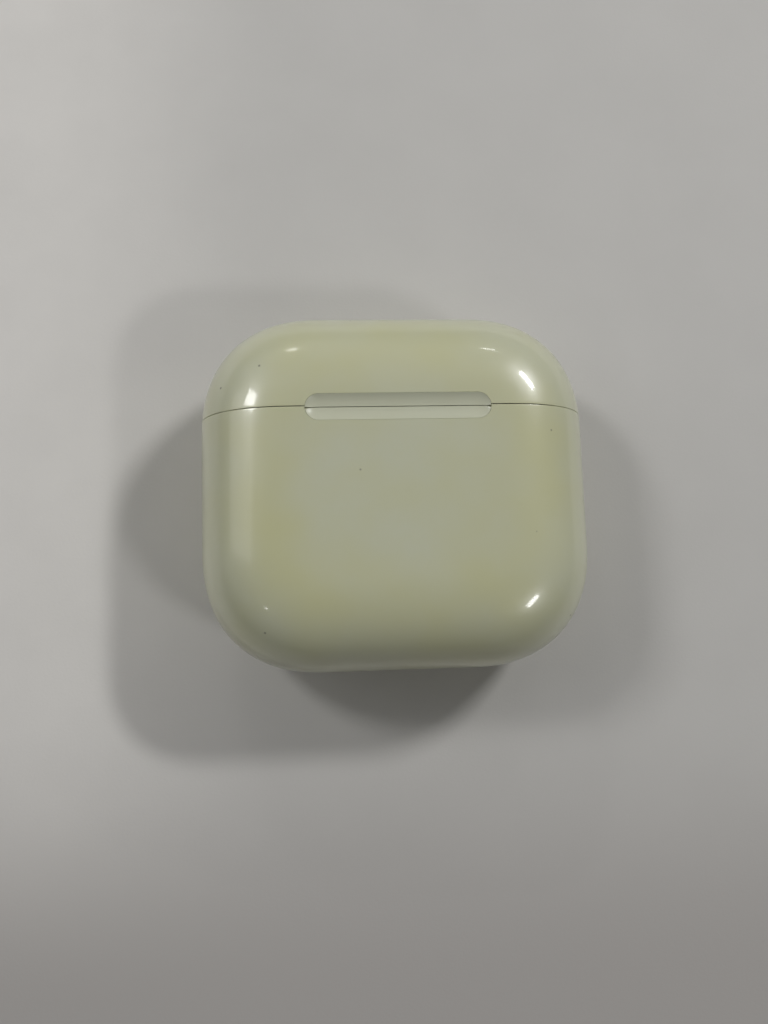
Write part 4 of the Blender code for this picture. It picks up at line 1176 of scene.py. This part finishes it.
def lamp(name, aim, azimuth, elevation, distance_mm, width_mm, length_mm, watts):
    """A rectangular area light aimed at a point.

    It stands at the aim plus its distance times (cos e cos a, cos e sin a, sin e): the azimuth a runs
    from +X towards +Y, and the elevation e up from the sheet.
    """
    light = bpy.data.lights.new(name, "AREA")
    light.shape = "RECTANGLE"
    light.size = width_mm * MM
    light.size_y = length_mm * MM
    light.energy = watts
    turn, climb = math.radians(azimuth), math.radians(elevation)
    level = math.cos(climb)
    towards = Vector((level * math.cos(turn), level * math.sin(turn), math.sin(climb)))
    holder = bpy.data.objects.new(name, light)
    holder.location = (Vector(aim) + towards * distance_mm) * MM
    holder.rotation_mode = "QUATERNION"
    holder.rotation_quaternion = towards.to_track_quat("Z", "Y")
    bpy.context.scene.collection.objects.link(holder)


lamp("ceiling", (0, 0, 10), 112, 46, 560, 560, 560, 0.22)
lamp("window", (-20, 0, 10), 162, 38, 460, 220, 260, 0.19)
lamp("upper_left", (-18, 11, 20), 147, 45, 480, 75, 95, 0.44)
lamp("upper_right", (16, 12, 20), 41, 42, 520, 90, 34, 0.92)
lamp("far_left", (-13, 17, 20), 102, 29, 900, 90, 14, 0.20)
lamp("far_right", (10, 17, 20), 71, 31, 900, 90, 16, 0.14)
lamp("lower_right", (15, -15, 20), -36, 43, 900, 150, 70, 1.00)
lamp("lower_left", (-16, -15, 20), -138, 45, 900, 30, 30, 0.05)

world = bpy.data.worlds.new("studio")
world.use_nodes = True
background = world.node_tree.nodes["Background"]
background.inputs["Color"].default_value = linear("#E9ECEF")
background.inputs["Strength"].default_value = WORLD_STRENGTH
bpy.context.scene.world = world
bpy.context.scene.view_settings.view_transform = "Standard"
print(len(bpy.data.lights), "lamps")

# %% [markdown]
# ## The camera
# The camera looks down from almost straight above the back face, a little from the foot end. It
# stands close, so the sides of the case draw in towards the sheet.

# %% Camera
CAMERA_PLACE = (-10.634, -18.309, 128.358)
CAMERA_RIGHT = (0.99677, -0.03096, 0.07404)
CAMERA_AHEAD = (0.07752, 0.13304, -0.98807)
LENS_MM = 31.64
SENSOR_MM = 36.0

right = Vector(CAMERA_RIGHT).normalized()
ahead = Vector(CAMERA_AHEAD).normalized()
facing = Matrix((right, right.cross(ahead), -ahead)).transposed()
camera_data = bpy.data.cameras.new("camera")
camera_data.sensor_width = SENSOR_MM
camera_data.lens = LENS_MM
camera_data.clip_start = 5 * MM
camera = bpy.data.objects.new("camera", camera_data)
camera.matrix_world = Matrix.Translation(Vector(CAMERA_PLACE) * MM) @ facing.to_4x4()
bpy.context.scene.collection.objects.link(camera)
bpy.context.scene.camera = camera
print(f"camera {CAMERA_PLACE[2]:.0f} mm above the sheet")
